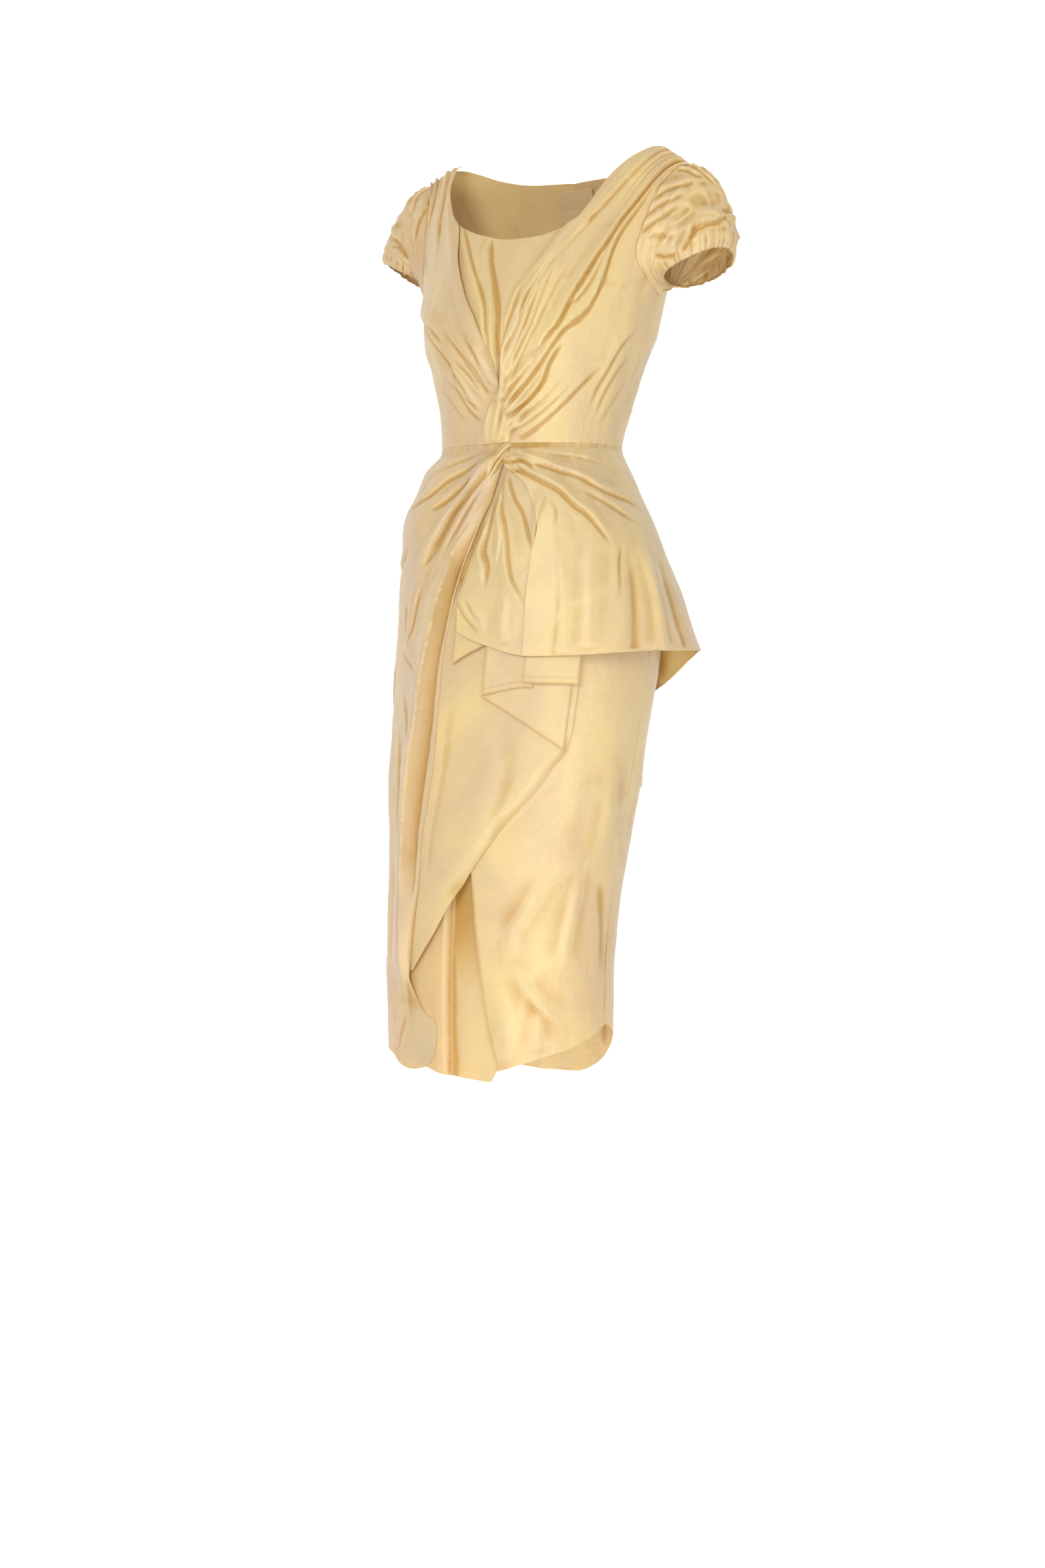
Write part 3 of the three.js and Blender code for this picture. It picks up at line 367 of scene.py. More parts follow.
half_width = section_curve("half")
front_depth = section_curve("front")
back_depth = section_curve("back")
centre_x = section_curve("cx")
centre_y = section_curve("cy")
shoulder_height = curve(SHOULDER_LINE)


def mm_per_degree(q):
    """Cloth width of one degree of phi at a level."""
    return DEGREE_SHARE * half_width(np.clip(q, SECTIONS[0]["z"], WIDEST_TOP))


def body(phi, q):
    """Points of the body form, in millimetres."""
    s, c = np.sin(np.radians(phi)), np.cos(np.radians(phi))
    across = np.sign(s) * np.abs(s) ** (2 / SECTION_POWER)
    ahead = np.sign(c) * np.abs(c) ** (2 / SECTION_POWER)
    depth = np.where(c > 0, front_depth(q), back_depth(q))
    x = centre_x(q) + half_width(q) * across
    rise = np.sin(np.clip((q - YOKE) / -YOKE, 0, 1) * math.pi / 2)
    roundness = np.where(c > 0, YOKE_FRONT_ROUND, YOKE_BACK_ROUND)
    shrink = np.maximum(0, 1 - rise**roundness) ** (1 / roundness)
    z = np.where(q <= YOKE, q, lerp(YOKE, shoulder_height(x - centre_x(0)), rise))
    return np.stack([x, centre_y(q) - depth * ahead * shrink, z], -1)


def unit(v):
    return v / np.maximum(np.linalg.norm(v, axis=-1, keepdims=True), 1e-9)


def body_normal(phi, q):
    """Directions straight out of the form; over the shoulder they turn upwards."""
    level = np.minimum(q, -3)
    round_it = body(phi + 0.3, level) - body(phi - 0.3, level)
    up = body(phi, level + 1.5) - body(phi, level - 1.5)
    normal = unit(np.cross(round_it, up))
    over = 0.85 * rising(q, -16, 16)[..., None]
    return unit(normal * (1 - over) + np.array([0, 0, 1.0]) * over)


def off_body(phi, q, off):
    """Points that stand off the form, in millimetres."""
    return body(phi, q) + body_normal(phi, q) * np.asarray(off)[..., None]


# ---------- folds ----------


def fold(path, height, soft, sharp, start=0.2, end=0.2, over=False, cut=0.45):
    """A pleat with its crease along (phi, q) points, from the top down. The cloth swells to the
    height over a soft run at the side of lower phi, or of higher phi with over, and drops over
    a sharp run at the other side into a groove of a share cut of the height. start and end are
    the shares of the length over which the pleat rises and dies."""
    low, high = (sharp, soft) if over else (soft, sharp)
    return dict(path=path, height=height, low=low, high=high, groove=2.1 * sharp,
                start=start, end=end, cut=cut, over=over)


def swell(path, height, reach, start=0.35, end=0.35):
    """A soft rounded ridge, or a trough with a height below 0."""
    return fold(path, height, reach, reach, start, end, cut=0)


def smooth_path(path):
    """Points of a smooth line through a fold's own points, evenly spaced."""
    points = np.array(path, float)
    flat = points * [MAP_MM, 1]
    at = np.concatenate([[0], np.cumsum(np.linalg.norm(np.diff(flat, axis=0), axis=1))])
    where = np.linspace(0, at[-1], PATH_STEPS)
    return np.stack([curve(list(zip(at, points[:, k])))(where) for k in (0, 1)], -1)


def fold_lift(folds, phi, q, per_degree=mm_per_degree):
    """How far the folds in a table lift the cloth at each place."""
    lift = np.zeros(phi.shape)
    x = phi * per_degree(q)
    for row in folds:
        line = smooth_path(row["path"])
        line_x = line[:, 0] * per_degree(line[:, 1])
        line_y = line[:, 1]
        reach = 3 * max(row["low"], row["high"])
        near = (x > line_x.min() - reach) & (x < line_x.max() + reach)
        near &= (q > line_y.min() - reach) & (q < line_y.max() + reach)
        px, py = x[near], q[near]
        if not px.size:
            continue
        best = np.full(px.shape, 1e9)
        side = np.zeros(px.shape)
        share = np.zeros(px.shape)
        count = len(line) - 1
        for i in range(count):
            run_x, run_y = line_x[i + 1] - line_x[i], line_y[i + 1] - line_y[i]
            square = run_x**2 + run_y**2 + 1e-9
            s = np.clip(((px - line_x[i]) * run_x + (py - line_y[i]) * run_y) / square, 0, 1)
            dx, dy = px - line_x[i] - s * run_x, py - line_y[i] - s * run_y
            distance = np.hypot(dx, dy)
            closer = distance < best
            best = np.where(closer, distance, best)
            turn = np.where(run_x * dy - run_y * dx > 0, 1.0, -1.0)
            side = np.where(closer, distance * turn, side)
            share = np.where(closer, (i + s) / count, share)
        away = np.abs(side) / np.where(side < 0, row["low"], row["high"])
        shape = np.exp(-(away**1.6))
        if row["cut"]:
            into = side * (-1 if row["over"] else 1) - row["groove"]
            shape = shape - row["cut"] * hump(into, 0.52 * row["groove"])
        along = ease(share / row["start"]) * ease((1 - share) / row["end"])
        lift[near] += row["height"] * along * shape
    return lift


def fan(first, last, count, height, soft, sharp, seed, start, end, over=False):
    """Pleats spread between two paths of as many points, uneven in spacing, size and length."""
    draw = np.random.default_rng(seed)
    first, last = np.array(first, float), np.array(last, float)
    made = []
    for i in range(count):
        share = (i + 0.5 + draw.uniform(-0.32, 0.32)) / count
        path = lerp(first, last, share)
        path = path + draw.uniform(-1, 1, path.shape) * [0.4, 2]
        size = draw.uniform(0.55, 1.3)
        made.append(fold(path.tolist(), height * size, soft * draw.uniform(0.8, 1.3),
                         sharp * draw.uniform(0.9, 1.2), start * draw.uniform(0.7, 1.8),
                         end * draw.uniform(0.7, 1.8), over))
    return made


INSET_FOLDS = [
    fold([(-31, -112), (-27, -122), (-18, -148), (-11, -167), (-6, -184), (-4, -205), (-2, -235)],
         2.4, 7, 1.8, 0.15, 0.2),
    fold([(-11, -131), (-7, -154), (-4, -167), (-1, -188), (0, -220), (1, -238), (1, -258)],
         4.6, 6, 1.8, 0.12, 0.05, cut=0.55),
    fold([(-3, -142), (0, -165), (3, -190), (3, -215), (3, -245)], 1.8, 9, 2.2, 0.4, 0.1, True),
    swell([(-19, -128), (-13, -150), (-7, -172)], 1.6, 6),
    swell([(16, -134), (11, -160), (6, -190)], 1.0, 8),
]
RIGHT_DRAPE_FOLDS = [
    fold([(-71, -4), (-67, -40), (-62, -78)], 2.4, 5, 1.7, 0.1, 0.4),
    fold([(-64, -3), (-60, -40), (-57, -72), (-58, -92), (-62, -110)], 4.0, 6, 1.9, 0.1, 0.3),
    fold([(-53, -3), (-49, -45), (-46, -84), (-45, -106), (-42, -132), (-40, -150)],
         2.6, 7, 1.7, 0.1, 0.3),
    swell([(-45, -30), (-41, -75), (-35, -112), (-27, -142), (-18, -172), (-9, -197), (-3, -228)],
          3.0, 7, 0.2, 0.2),
    fold([(-13, -203), (-10, -209), (-6, -228), (-2, -248), (1, -260)], 2.6, 6, 1.7, 0.3, 0.1, True),
    fold([(-18, -205), (-12, -224), (-6, -243), (-1, -266)], 2.2, 5, 1.6, 0.3, 0.1, True),
    fold([(-66, -158), (-62, -172), (-44, -188), (-32, -209), (-23, -230), (-18, -248), (-12, -269),
          (-5, -292)], 4.4, 9, 2.0, 0.15, 0.25, True, 0.6),
    fold([(-50, -176), (-44, -182), (-32, -194), (-26, -208)], 2.6, 6, 1.8, 0.3, 0.3, True),
    fold([(-23, -228), (-22, -240), (-18, -260), (-12, -274), (-8, -284)],
         3.4, 5, 1.8, 0.2, 0.3, True),
    swell([(-46, -205), (-35, -227), (-24, -248), (-16, -269), (-8, -288)], 2.2, 7),
    fold([(-28, -244), (-23, -252), (-14, -281), (-5, -297)], 2.6, 7, 1.8, 0.3, 0.25, True),
    fold([(-40, -240), (-28, -270), (-14, -298)], 1.4, 9, 2.4, 0.4, 0.4, True),
    fold([(-70, -190), (-56, -216), (-42, -244)], 1.6, 10, 2.6, 0.4, 0.4, True),
]
RIGHT_DRAPE_FOLDS += fan(
    [(-26, -172), (-16, -200), (-8, -226), (-1, -254)],
    [(-38, -205), (-25, -232), (-14, -256), (-5, -282)],
    7, 1.5, 4.0, 1.5, seed=4, start=0.35, end=0.12, over=True)
RIGHT_DRAPE_FOLDS += fan(
    [(-75, -6), (-71, -40), (-66, -76)],
    [(-46, -6), (-42, -55), (-39, -100)],
    5, 1.2, 4, 1.7, seed=13, start=0.12, end=0.5)
LEFT_DRAPE_FOLDS = [
    fold([(3, -172), (2, -191), (1, -212)], 1.8, 3.0, 1.5),
    fold([(8, -166), (6, -185), (4, -198), (1, -226)], 2.0, 3.2, 1.5),
    fold([(12, -164), (10, -188), (8, -202), (4, -222), (3, -244)], 2.0, 3.4, 1.5),
    fold([(17, -162), (13, -194), (10, -212), (5, -236)], 1.8, 3.4, 1.5),
    fold([(21, -154), (18, -174), (16, -190), (13, -208), (6, -240)], 2.2, 4, 1.6),
    swell([(41, -45), (33, -85), (27, -113), (21, -131), (17, -149), (12, -161), (7, -180)],
          2.0, 5, 0.3, 0.3),
    fold([(49, -4), (45, -40), (38, -82), (32, -108), (27, -128), (22, -146), (17, -160)],
         3.2, 7, 1.8, 0.1, 0.35),
    fold([(62, -5), (56, -50), (50, -88), (44, -120), (42, -136), (39, -149), (36, -162),
          (32, -178), (30, -188), (24, -206), (19, -224)], 4.6, 8, 1.9, 0.1, 0.15, cut=0.6),
    fold([(43, -140), (41, -161), (37, -174), (32, -182)], 2.0, 4, 1.6),
    fold([(57, -70), (50, -108), (46, -140), (46, -162), (45, -174), (42, -184), (34, -194),
          (30, -206), (23, -232), (14, -257), (6, -274), (0, -288)], 4.2, 8, 1.9, 0.3, 0.12),
    fold([(34, -208), (28, -230), (24, -254), (18, -270), (9, -284), (2, -294)],
         3.6, 7, 1.8, 0.2, 0.15, cut=0.6),
    fold([(20, -226), (13, -246), (8, -257), (2, -276)], 3.4, 5, 1.8, 0.25, 0.1),
    fold([(62, -228), (50, -251), (40, -272), (30, -290), (20, -305), (9, -318)],
         2.8, 10, 2.2, 0.3, 0.1),
    fold([(80, -182), (76, -191), (68, -215), (64, -238), (58, -262), (54, -292)],
         2.2, 10, 2.6, 0.3, 0.3),
    fold([(80, -210), (70, -244), (64, -270), (60, -300)], 1.8, 9, 2.6, 0.3, 0.3),
    fold([(8, -236), (4, -257), (2, -278), (-1, -305)], 1.8, 3.2, 1.6, 0.2, 0.2),
    swell([(50, -190), (40, -222), (30, -250)], 1.4, 8),
    fold([(84, -240), (74, -272), (64, -304)], 1.4, 9, 3, 0.4, 0.3),
    swell([(4, -240), (1, -262), (-3, -285), (-5, -305), (-5, -320)], 1.8, 4.5),
]
LEFT_DRAPE_FOLDS += fan(
    [(3, -262), (0, -284), (-2, -304), (-3, -319)],
    [(22, -276), (14, -296), (9, -310), (6, -320)],
    4, 1.6, 3.4, 1.6, seed=6, start=0.4, end=0.05)
LEFT_DRAPE_FOLDS += fan(
    [(24, -128), (15, -158), (8, -190), (5, -222), (3, -258)],
    [(33, -130), (26, -162), (19, -196), (11, -232), (5, -270)],
    7, 1.5, 3.2, 1.5, seed=3, start=0.25, end=0.1)
LEFT_DRAPE_FOLDS += fan(
    [(51, -5), (46, -48), (39, -92), (33, -128)],
    [(74, -10), (62, -55), (55, -98), (50, -134)],
    6, 1.7, 5, 1.7, seed=5, start=0.12, end=0.4)
LEFT_DRAPE_FOLDS += fan(
    [(24, -214), (16, -240), (9, -264), (2, -288)],
    [(46, -250), (34, -274), (18, -298), (2, -314)],
    6, 1.5, 3.6, 1.6, seed=8, start=0.4, end=0.12)

WRAP_FOLDS = [
    fold([(3, -332), (-3, -358), (-10, -380), (-18, -402), (-22, -422), (-27, -444), (-33, -468)],
         7.5, 8, 2.6, 0.1, 0.25, cut=0.6),
    swell([(0, -360), (-8, -384), (-15, -416), (-20, -450), (-27, -491)], 3.0, 5, 0.2, 0.5),
    fold([(-6, -354), (-12, -366), (-18, -376), (-26, -389), (-33, -398)], 4.0, 6, 2.2, 0.3, 0.3),
    fold([(1, -328), (-13, -348), (-26, -362), (-37, -380), (-63, -405)], 2.6, 6, 2.0, 0.15, 0.4),
    fold([(0, -326), (-17, -335), (-36, -352), (-50, -372)], 2.0, 5, 2.0, 0.2, 0.5),
    fold([(2, -350), (-5, -382), (-11, -407), (-16, -431), (-19, -456)], 2.2, 3.4, 1.6, 0.2, 0.4),
    fold([(1, -372), (-6, -404), (-11, -428), (-14, -446)], 1.6, 2.8, 1.5, 0.2, 0.4),
    swell([(-22, -430), (-30, -466), (-36, -500), (-42, -548)], 2.4, 7),
    fold([(-30, -478), (-33, -500), (-36, -526), (-42, -550)], 2.0, 8, 2.2, 0.3, 0.3),
    fold([(-44, -430), (-56, -452), (-70, -466)], 2.0, 9, 3, 0.4, 0.4),
    fold([(-46, -500), (-43, -522), (-45, -545)], 1.8, 5, 2.4, 0.4, 0.4),
    fold([(-46, -548), (-40, -560), (-32, -570), (-25, -578)], 2.0, 6, 2.2, 0.35, 0.35, True),
    fold([(-60, -560), (-66, -590), (-70, -640)], 2.2, 10, 4, 0.4, 0.4),
    fold([(-40, -606), (-37, -622), (-33, -644), (-30, -668)], 1.8, 7, 2.2, 0.35, 0.35),
    fold([(-46, -640), (-42, -680), (-38, -730), (-36, -790)], 2.2, 9, 3, 0.35, 0.35),
    swell([(-62, -650), (-56, -720), (-52, -800)], 2.2, 12),
    swell([(-42, -780), (-46, -860), (-48, -950)], -2.0, 9),
    swell([(-64, -820), (-68, -900), (-66, -990)], 1.8, 14),
    fold([(-28, -965), (-36, -995), (-41, -1025)], 1.6, 8, 3, 0.4, 0.3),
    fold([(-26, -960), (-20, -996), (-21, -1030)], 1.2, 6, 3, 0.4, 0.3),
]
PEPLUM_FOLDS = [
    fold([(11, -338), (22, -347), (37, -354), (50, -362), (64, -376), (84, -386), (100, -400)],
         3.0, 7, 1.9, 0.12, 0.35, True),
    fold([(10, -346), (16, -354), (27, -366), (36, -377), (42, -392), (49, -406), (54, -422),
          (60, -442)], 4.2, 7, 2.0, 0.12, 0.3, True, 0.55),
    fold([(7, -328), (20, -340), (32, -350), (40, -360)], 2.4, 5, 1.8, 0.15, 0.4, True),
    fold([(6, -340), (8, -344), (15, -342), (20, -348), (27, -362)], 3.4, 4, 1.7, 0.12, 0.4, True),
    fold([(5, -350), (10, -354), (16, -353), (21, -357)], 3.4, 3.6, 1.7, 0.15, 0.5, True, 0.6),
    fold([(44, -370), (60, -386), (74, -401), (88, -414)], 2.0, 8, 2.4, 0.35, 0.4, True),
    fold([(12, -328), (34, -334), (60, -340), (80, -348)], 1.4, 4, 1.8, 0.2, 0.5, True),
    swell([(50, -408), (46, -448), (45, -500), (46, -552)], 2.6, 9, 0.4, 0.05),
    fold([(62, -432), (58, -466), (57, -510)], 2.0, 8, 2.6, 0.3, 0.5),
    swell([(66, -430), (67, -490), (67, -552)], -3.0, 9, 0.5, 0.02),
    swell([(76, -420), (79, -480), (80, -552)], 8, 11, 0.5, 0.02),
    swell([(92, -440), (94, -500), (96, -552)], -4, 9, 0.5, 0.02),
    swell([(112, -440), (113, -490), (114, -552)], 3, 8, 0.5, 0.02),
    swell([(138, -400), (141, -500), (142, -600)], 8, 12, 0.5, 0.02),
    swell([(158, -420), (160, -520), (160, -612)], 4, 10, 0.5, 0.02),
    swell([(31, -430), (34, -500), (36, -558)], 1.6, 9, 0.4, 0.05),
    fold([(27, -388), (30, -402), (28, -420)], 1.2, 4, 1.8, 0.4, 0.4),
]
SWAG_FOLDS = [
    fold([(3, -356), (2, -376), (0, -396), (-1, -419), (-2, -444), (0, -466), (0, -492)],
         4.4, 4.5, 1.9, 0.15, 0.3, cut=0.6),
    fold([(-2, -378), (-4, -412), (-4, -438), (-5, -462)], 2.6, 3.4, 1.7, 0.2, 0.35),
    fold([(4, -360), (4, -394), (6, -420), (8, -456), (10, -478), (14, -496), (17, -516)],
         2.6, 6, 1.7, 0.15, 0.3),
    fold([(6, -356), (10, -388), (14, -406), (16, -428), (19, -452)], 3.0, 6, 1.8, 0.15, 0.2),
    fold([(28, -376), (25, -390), (21, -418), (19, -452)], 2.4, 5, 2.0, 0.2, 0.3),
    fold([(3, -388), (5, -430), (4, -470)], 1.5, 3, 1.6, 0.3, 0.4),
    fold([(-9, -490), (-4, -514), (0, -527), (3, -541)], 1.6, 5, 1.8, 0.3, 0.3, True),
    fold([(-5, -492), (0, -516), (3, -535)], 1.2, 4, 1.7, 0.3, 0.3, True),
    swell([(9, -480), (9, -515), (10, -548)], 1.6, 6, 0.4, 0.1),
]
OVERLAY_FOLDS = [
    swell([(2, -600), (8, -680), (4, -760), (-8, -840)], 1.8, 16, 0.4, 0.4),
    swell([(-8, -600), (-9, -680), (-13, -760), (-18, -850)], -1.0, 8, 0.3, 0.3),
    swell([(20, -640), (16, -720), (6, -800)], -1.2, 12, 0.4, 0.4),
]
FRONT_FOLDS = [
    fold([(40, -796), (36, -824), (29, -852), (24, -876), (24, -908)], 3.0, 11, 5, 0.4, 0.3, True, 0),
    fold([(24, -908), (35, -938), (44, -959), (58, -978)], 3.4, 9, 4, 0.3, 0.4, True, 0),
    swell([(62, -790), (58, -854), (56, -892), (56, -930)], 3.4, 9),
    swell([(74, -800), (84, -878), (88, -940)], -2.6, 10),
    swell([(40, -958), (40, -986), (42, -1006)], 2.4, 8, 0.4, 0.1),
    swell([(70, -660), (74, -740), (72, -800)], 2.6, 12),
    swell([(20, -1020), (24, -980), (20, -930)], 1.4, 9, 0.1, 0.4),
]
BACK_FOLDS_LEFT = [
    swell([(104, -640), (108, -740), (112, -860)], 2.0, 13),
    fold([(150, -380), (140, -430), (126, -470)], 1.6, 9, 3, 0.4, 0.4),
    swell([(160, -700), (154, -820), (150, -960)], 2.4, 15),
    swell([(126, -820), (130, -920), (134, -1040)], -2.0, 13, 0.4, 0.1),
    fold([(98, -690), (112, -716), (130, -726)], 1.4, 9, 3, 0.4, 0.4, True),
]
BACK_FOLDS_RIGHT = [
    fold([(-100, -400), (-120, -440), (-144, -462)], 2.0, 9, 3, 0.4, 0.4),
    fold([(-96, -470), (-116, -520), (-138, -546)], 1.8, 10, 3, 0.4, 0.4),
    swell([(-98, -560), (-112, -640), (-124, -740)], 2.2, 12),
    swell([(-160, -700), (-156, -840), (-152, -980)], 2.2, 15),
    swell([(-118, -780), (-122, -900), (-124, -1040)], -2.0, 13, 0.4, 0.1),
]
BODICE_BACK_FOLDS = [
    fold([(112, -178), (126, -210), (140, -250), (150, -300)], 1.6, 9, 3, 0.3, 0.3),
    fold([(100, -200), (108, -250), (112, -310)], 1.4, 8, 3, 0.3, 0.3),
    swell([(124, -60), (130, -100), (140, -140)], 1.2, 8),
    fold([(170, -220), (166, -270), (160, -315)], 1.2, 8, 3, 0.4, 0.3),
]
# Sleeve folds: degrees from the shoulder towards the front, millimetres down from the armhole.
SLEEVE_FOLDS = [
    fold([(96, -1), (82, -19), (67, -31), (44, -34)], 3.2, 6, 1.8, 0.1, 0.35),
    fold([(108, -1), (96, -20), (83, -34), (64, -40)], 3.2, 6, 1.8, 0.1, 0.35),
    fold([(117, -2), (105, -28), (86, -42), (72, -46)], 3.4, 7, 1.8, 0.1, 0.35),
    fold([(79, -78), (68, -73), (41, -74), (8, -66)], 4.6, 8, 2.2, 0.15, 0.3, cut=0.55),
    fold([(66, -72), (42, -76), (4, -70), (-20, -72)], 2.6, 6, 2.0, 0.3, 0.3, True),
    fold([(90, -92), (77, -82), (71, -77), (64, -70)], 4.8, 7, 2.2, 0.2, 0.3, cut=0.6),
    fold([(119, -20), (105, -50), (90, -72)], 2.4, 8, 2.2, 0.3, 0.3),
    fold([(126, -50), (111, -79), (92, -90)], 3.0, 9, 2.2, 0.3, 0.3),
    swell([(66, -60), (45, -67), (22, -69)], 2.4, 6),
    fold([(60, -2), (52, -18), (36, -32)], 2.8, 6, 1.8, 0.1, 0.4),
    fold([(38, -2), (30, -22), (10, -40)], 3.0, 7, 1.9, 0.1, 0.4),
    fold([(14, -2), (4, -24), (-10, -44)], 2.8, 7, 1.9, 0.1, 0.4),
    fold([(-14, -2), (-20, -26), (-38, -42)], 3.0, 7, 1.9, 0.1, 0.4, True),
    fold([(-44, -2), (-52, -24), (-72, -38)], 2.8, 7, 1.9, 0.1, 0.4, True),
    fold([(-78, -2), (-90, -24), (-110, -40)], 3.0, 7, 1.9, 0.1, 0.4, True),
    fold([(-30, -60), (-60, -66), (-90, -60)], 3.0, 8, 2.2, 0.3, 0.3),
    fold([(-70, -84), (-90, -74), (-116, -70)], 3.2, 8, 2.2, 0.3, 0.3, True),
    fold([(-10, -86), (-40, -84), (-64, -90)], 2.4, 7, 2.2, 0.3, 0.3),
]


# ---------- how far each layer stands off the body ----------

wrap_crest = curve(WRAP_CREST)
wrap_valley = curve(WRAP_VALLEY)
wrap_lift = curve(WRAP_LIFT)
pleat_edge = curve(PLEAT_EDGE)
peplum_flare = curve(PEPLUM_FLARE)
peplum_hemline = curve(PEPLUM_HEMLINE)
right_drape_edge = curve(RIGHT_DRAPE_EDGE)
left_drape_edge = curve(LEFT_DRAPE_EDGE)
armhole_front = curve(ARMHOLE_FRONT)
armhole_back = curve(ARMHOLE_BACK)
slit_edge = curve(SLIT_EDGE)
overlay_edge = curve(OVERLAY_EDGE)
swag_edge = curve(SWAG_EDGE)


def hang(q, hem=PEPLUM_HEM):
    """The share of the way from the waist down to the peplum's hem."""
    return np.clip((HANG_START - q) / (HANG_START - hem), 0, 1)


def seam_level(phi):
    """The cloth's level along the waist, the same above and below the seam."""
    return CLEAR + OVER_ONE * (1 - rising(np.abs(phi), 45, 18))


def tucked(phi, q, free):
    """Brings a top edge that lies under another piece in beneath it."""
    return lerp(seam_level(phi) - TUCK, free, falling(q, WAIST - 12, 50))


def wrinkle(phi, q, seed, size, height):
    """Small unevenness of the crisp cloth."""
    x, y = phi * MAP_MM / size, q / (1.5 * size)
    return height * crumple(0.87 * x + 0.5 * y, 0.87 * y - 0.5 * x, seed)


def pucker(phi, q, seed):
    """Short ripples that the stitching draws along the waist seam."""
    fade = np.exp(-np.abs(WAIST - q) / 9)
    return 0.55 * fade * value_noise(phi * 0.45, q * 0.03, seed)


def waist_flat(q):
    """The share of a crossing's thickness that is left near the waist seam."""
    return 1 - 0.55 * falling(q, WAIST + 24, 22)


def inset_off(phi, q):
    return INSET_SUNK + fold_lift(INSET_FOLDS, phi, q) + wrinkle(phi, q, seed=31, size=20, height=0.3)


def right_drape_off(phi, q):
    """The right drape lies flat where the left one covers it."""
    folds = fold_lift(RIGHT_DRAPE_FOLDS, phi, q)
    under_left = rising(phi, left_drape_edge(q) - 3, 3)
    folds = np.where(q < -235, lerp(folds, np.minimum(folds, 0.8), under_left), folds)
    sunk = OVER_ONE * (1 - waist_flat(q)) * under_left
    small = wrinkle(phi, q, seed=41, size=20, height=0.7) + pucker(phi, q, seed=43)
    return seam_level(phi) - sunk + np.maximum(folds, CLOSE_TO_BODY) + small


def left_drape_off(phi, q):
    """The left drape crosses over the right one towards the waist."""
    over_right = OVER_ONE * falling(phi, 12, 8) * falling(q, -215, 22) * waist_flat(q)
    folds = np.maximum(fold_lift(LEFT_DRAPE_FOLDS, phi, q), CLOSE_TO_BODY)
    small = wrinkle(phi, q, seed=51, size=20, height=0.7) + pucker(phi, q, seed=53)
    return seam_level(phi) + over_right + folds + small


def overlay_level(phi, q):
    """The overlay's own level without its folds; along its free edge it lies close."""
    free = OVER_ONE + CLEAR + hang(q) + 1.2 * rising(phi, -30, 20) * falling(q, -640, 60)
    close = (1 - falling(phi, overlay_edge(q), 7)) * falling(q, -630, 40) * rising(q, -850, 30)
    return lerp(free, OVERLAY["edge"], close)


def overlay_off(phi, q):
    folds = fold_lift(OVERLAY_FOLDS, phi, q) * falling(q, -580, 60)
    small = np.maximum(folds, -1) + wrinkle(phi, q, seed=61, size=50, height=0.9)
    small = small * rising(phi, wrap_valley(q) + 1, 5)
    return tucked(phi, q, overlay_level(phi, q) + small)


def recess(phi, q):
    """Where the wrap's recess is: the share of the way down across it, how far past its bottom
    the band along the free edge has begun, and how fully the recess is formed at the level."""
    crest = wrap_crest(q)
    valley = np.maximum(wrap_valley(q), crest + 2)
    band = lerp(crest, valley, RECESS["band"])
    down = np.clip((phi - crest) / (band - crest), 0, 1)
    formed = falling(q, RECESS["top"], RECESS["fade"]) * rising(q, RECESS["foot"], RECESS["fade"])
    return down, rising(phi, band, 0.9), formed


def wrap_off(phi, q):
    """From the side seam to a standing fold, down a lit slope into a deep recess and up again
    to the narrow band along the free edge."""
    from_side = rising(phi, -SIDE_SEAM, 32)
    crest = wrap_crest(q)
    valley = np.maximum(wrap_valley(q), crest + 2)
    down, past, formed = recess(phi, q)
    closed = falling(q, STANDING_FOLD["close"], STANDING_FOLD["close_run"])
    from_crest = np.minimum(0, phi - crest) * mm_per_degree(q)
    outward = STANDING_FOLD["out"] * rising(phi, -52, 26) * (1 - 0.6 * closed)
    lifted = wrap_lift(q) * from_side * falling(phi, -8, 40) + outward
    ridge = STANDING_FOLD["ridge"] * hump(from_crest, STANDING_FOLD["ridge_reach"])
    lifted = lifted + ridge * (1 - closed)
    lip = STANDING_FOLD["lip"] * hump(from_crest, STANDING_FOLD["lip_reach"])
    lip = lip * falling(q, STANDING_FOLD["lip_top"], 60)
    lifted = lifted + lip * (1 - closed)
    low = overlay_level(phi, q) + SHELL + 0.1 + 1.2 * falling(phi, valley, 2.5)
    low = lerp(low, STANDING_FOLD["band"], rising(q, STANDING_FOLD["band_top"], 60))
    low = low - 2.5 * closed
    slope = lerp(lifted - 2.2 * ease(down / 0.08), RECESS["floor"], 1 - (1 - down) ** 1.7)
    plain = lerp(lifted, low, np.clip((phi - crest) / (valley - crest), 0, 1) * (1 - closed))
    free = lerp(plain, lerp(slope, low, past), formed * (1 - closed))
    free = np.where(phi > crest, free, lifted)
    folds = fold_lift(WRAP_FOLDS, phi, q) * rising(phi, -SIDE_SEAM, 12)
    small = folds + wrinkle(phi, q, seed=71, size=34, height=1.4) * from_side
    free = free + small * falling(phi, lerp(crest, valley, RECESS["band"]), 2)
    least = lerp(CLEAR, RECESS["floor"], rising(phi, crest, 3))
    start = seam_level(phi) + pucker(phi, q, seed=73)
    return start + (np.maximum(free, least) - start) * falling(q, WAIST, 36)


def wrap_recess_shade(phi, q):
    """Painted shade on the way down into the wrap's recess."""
    down, past, formed = recess(phi, q)
    return formed * (1 - past) * ease(down / 0.1) * lerp(0.5, 1.0, ease(down))


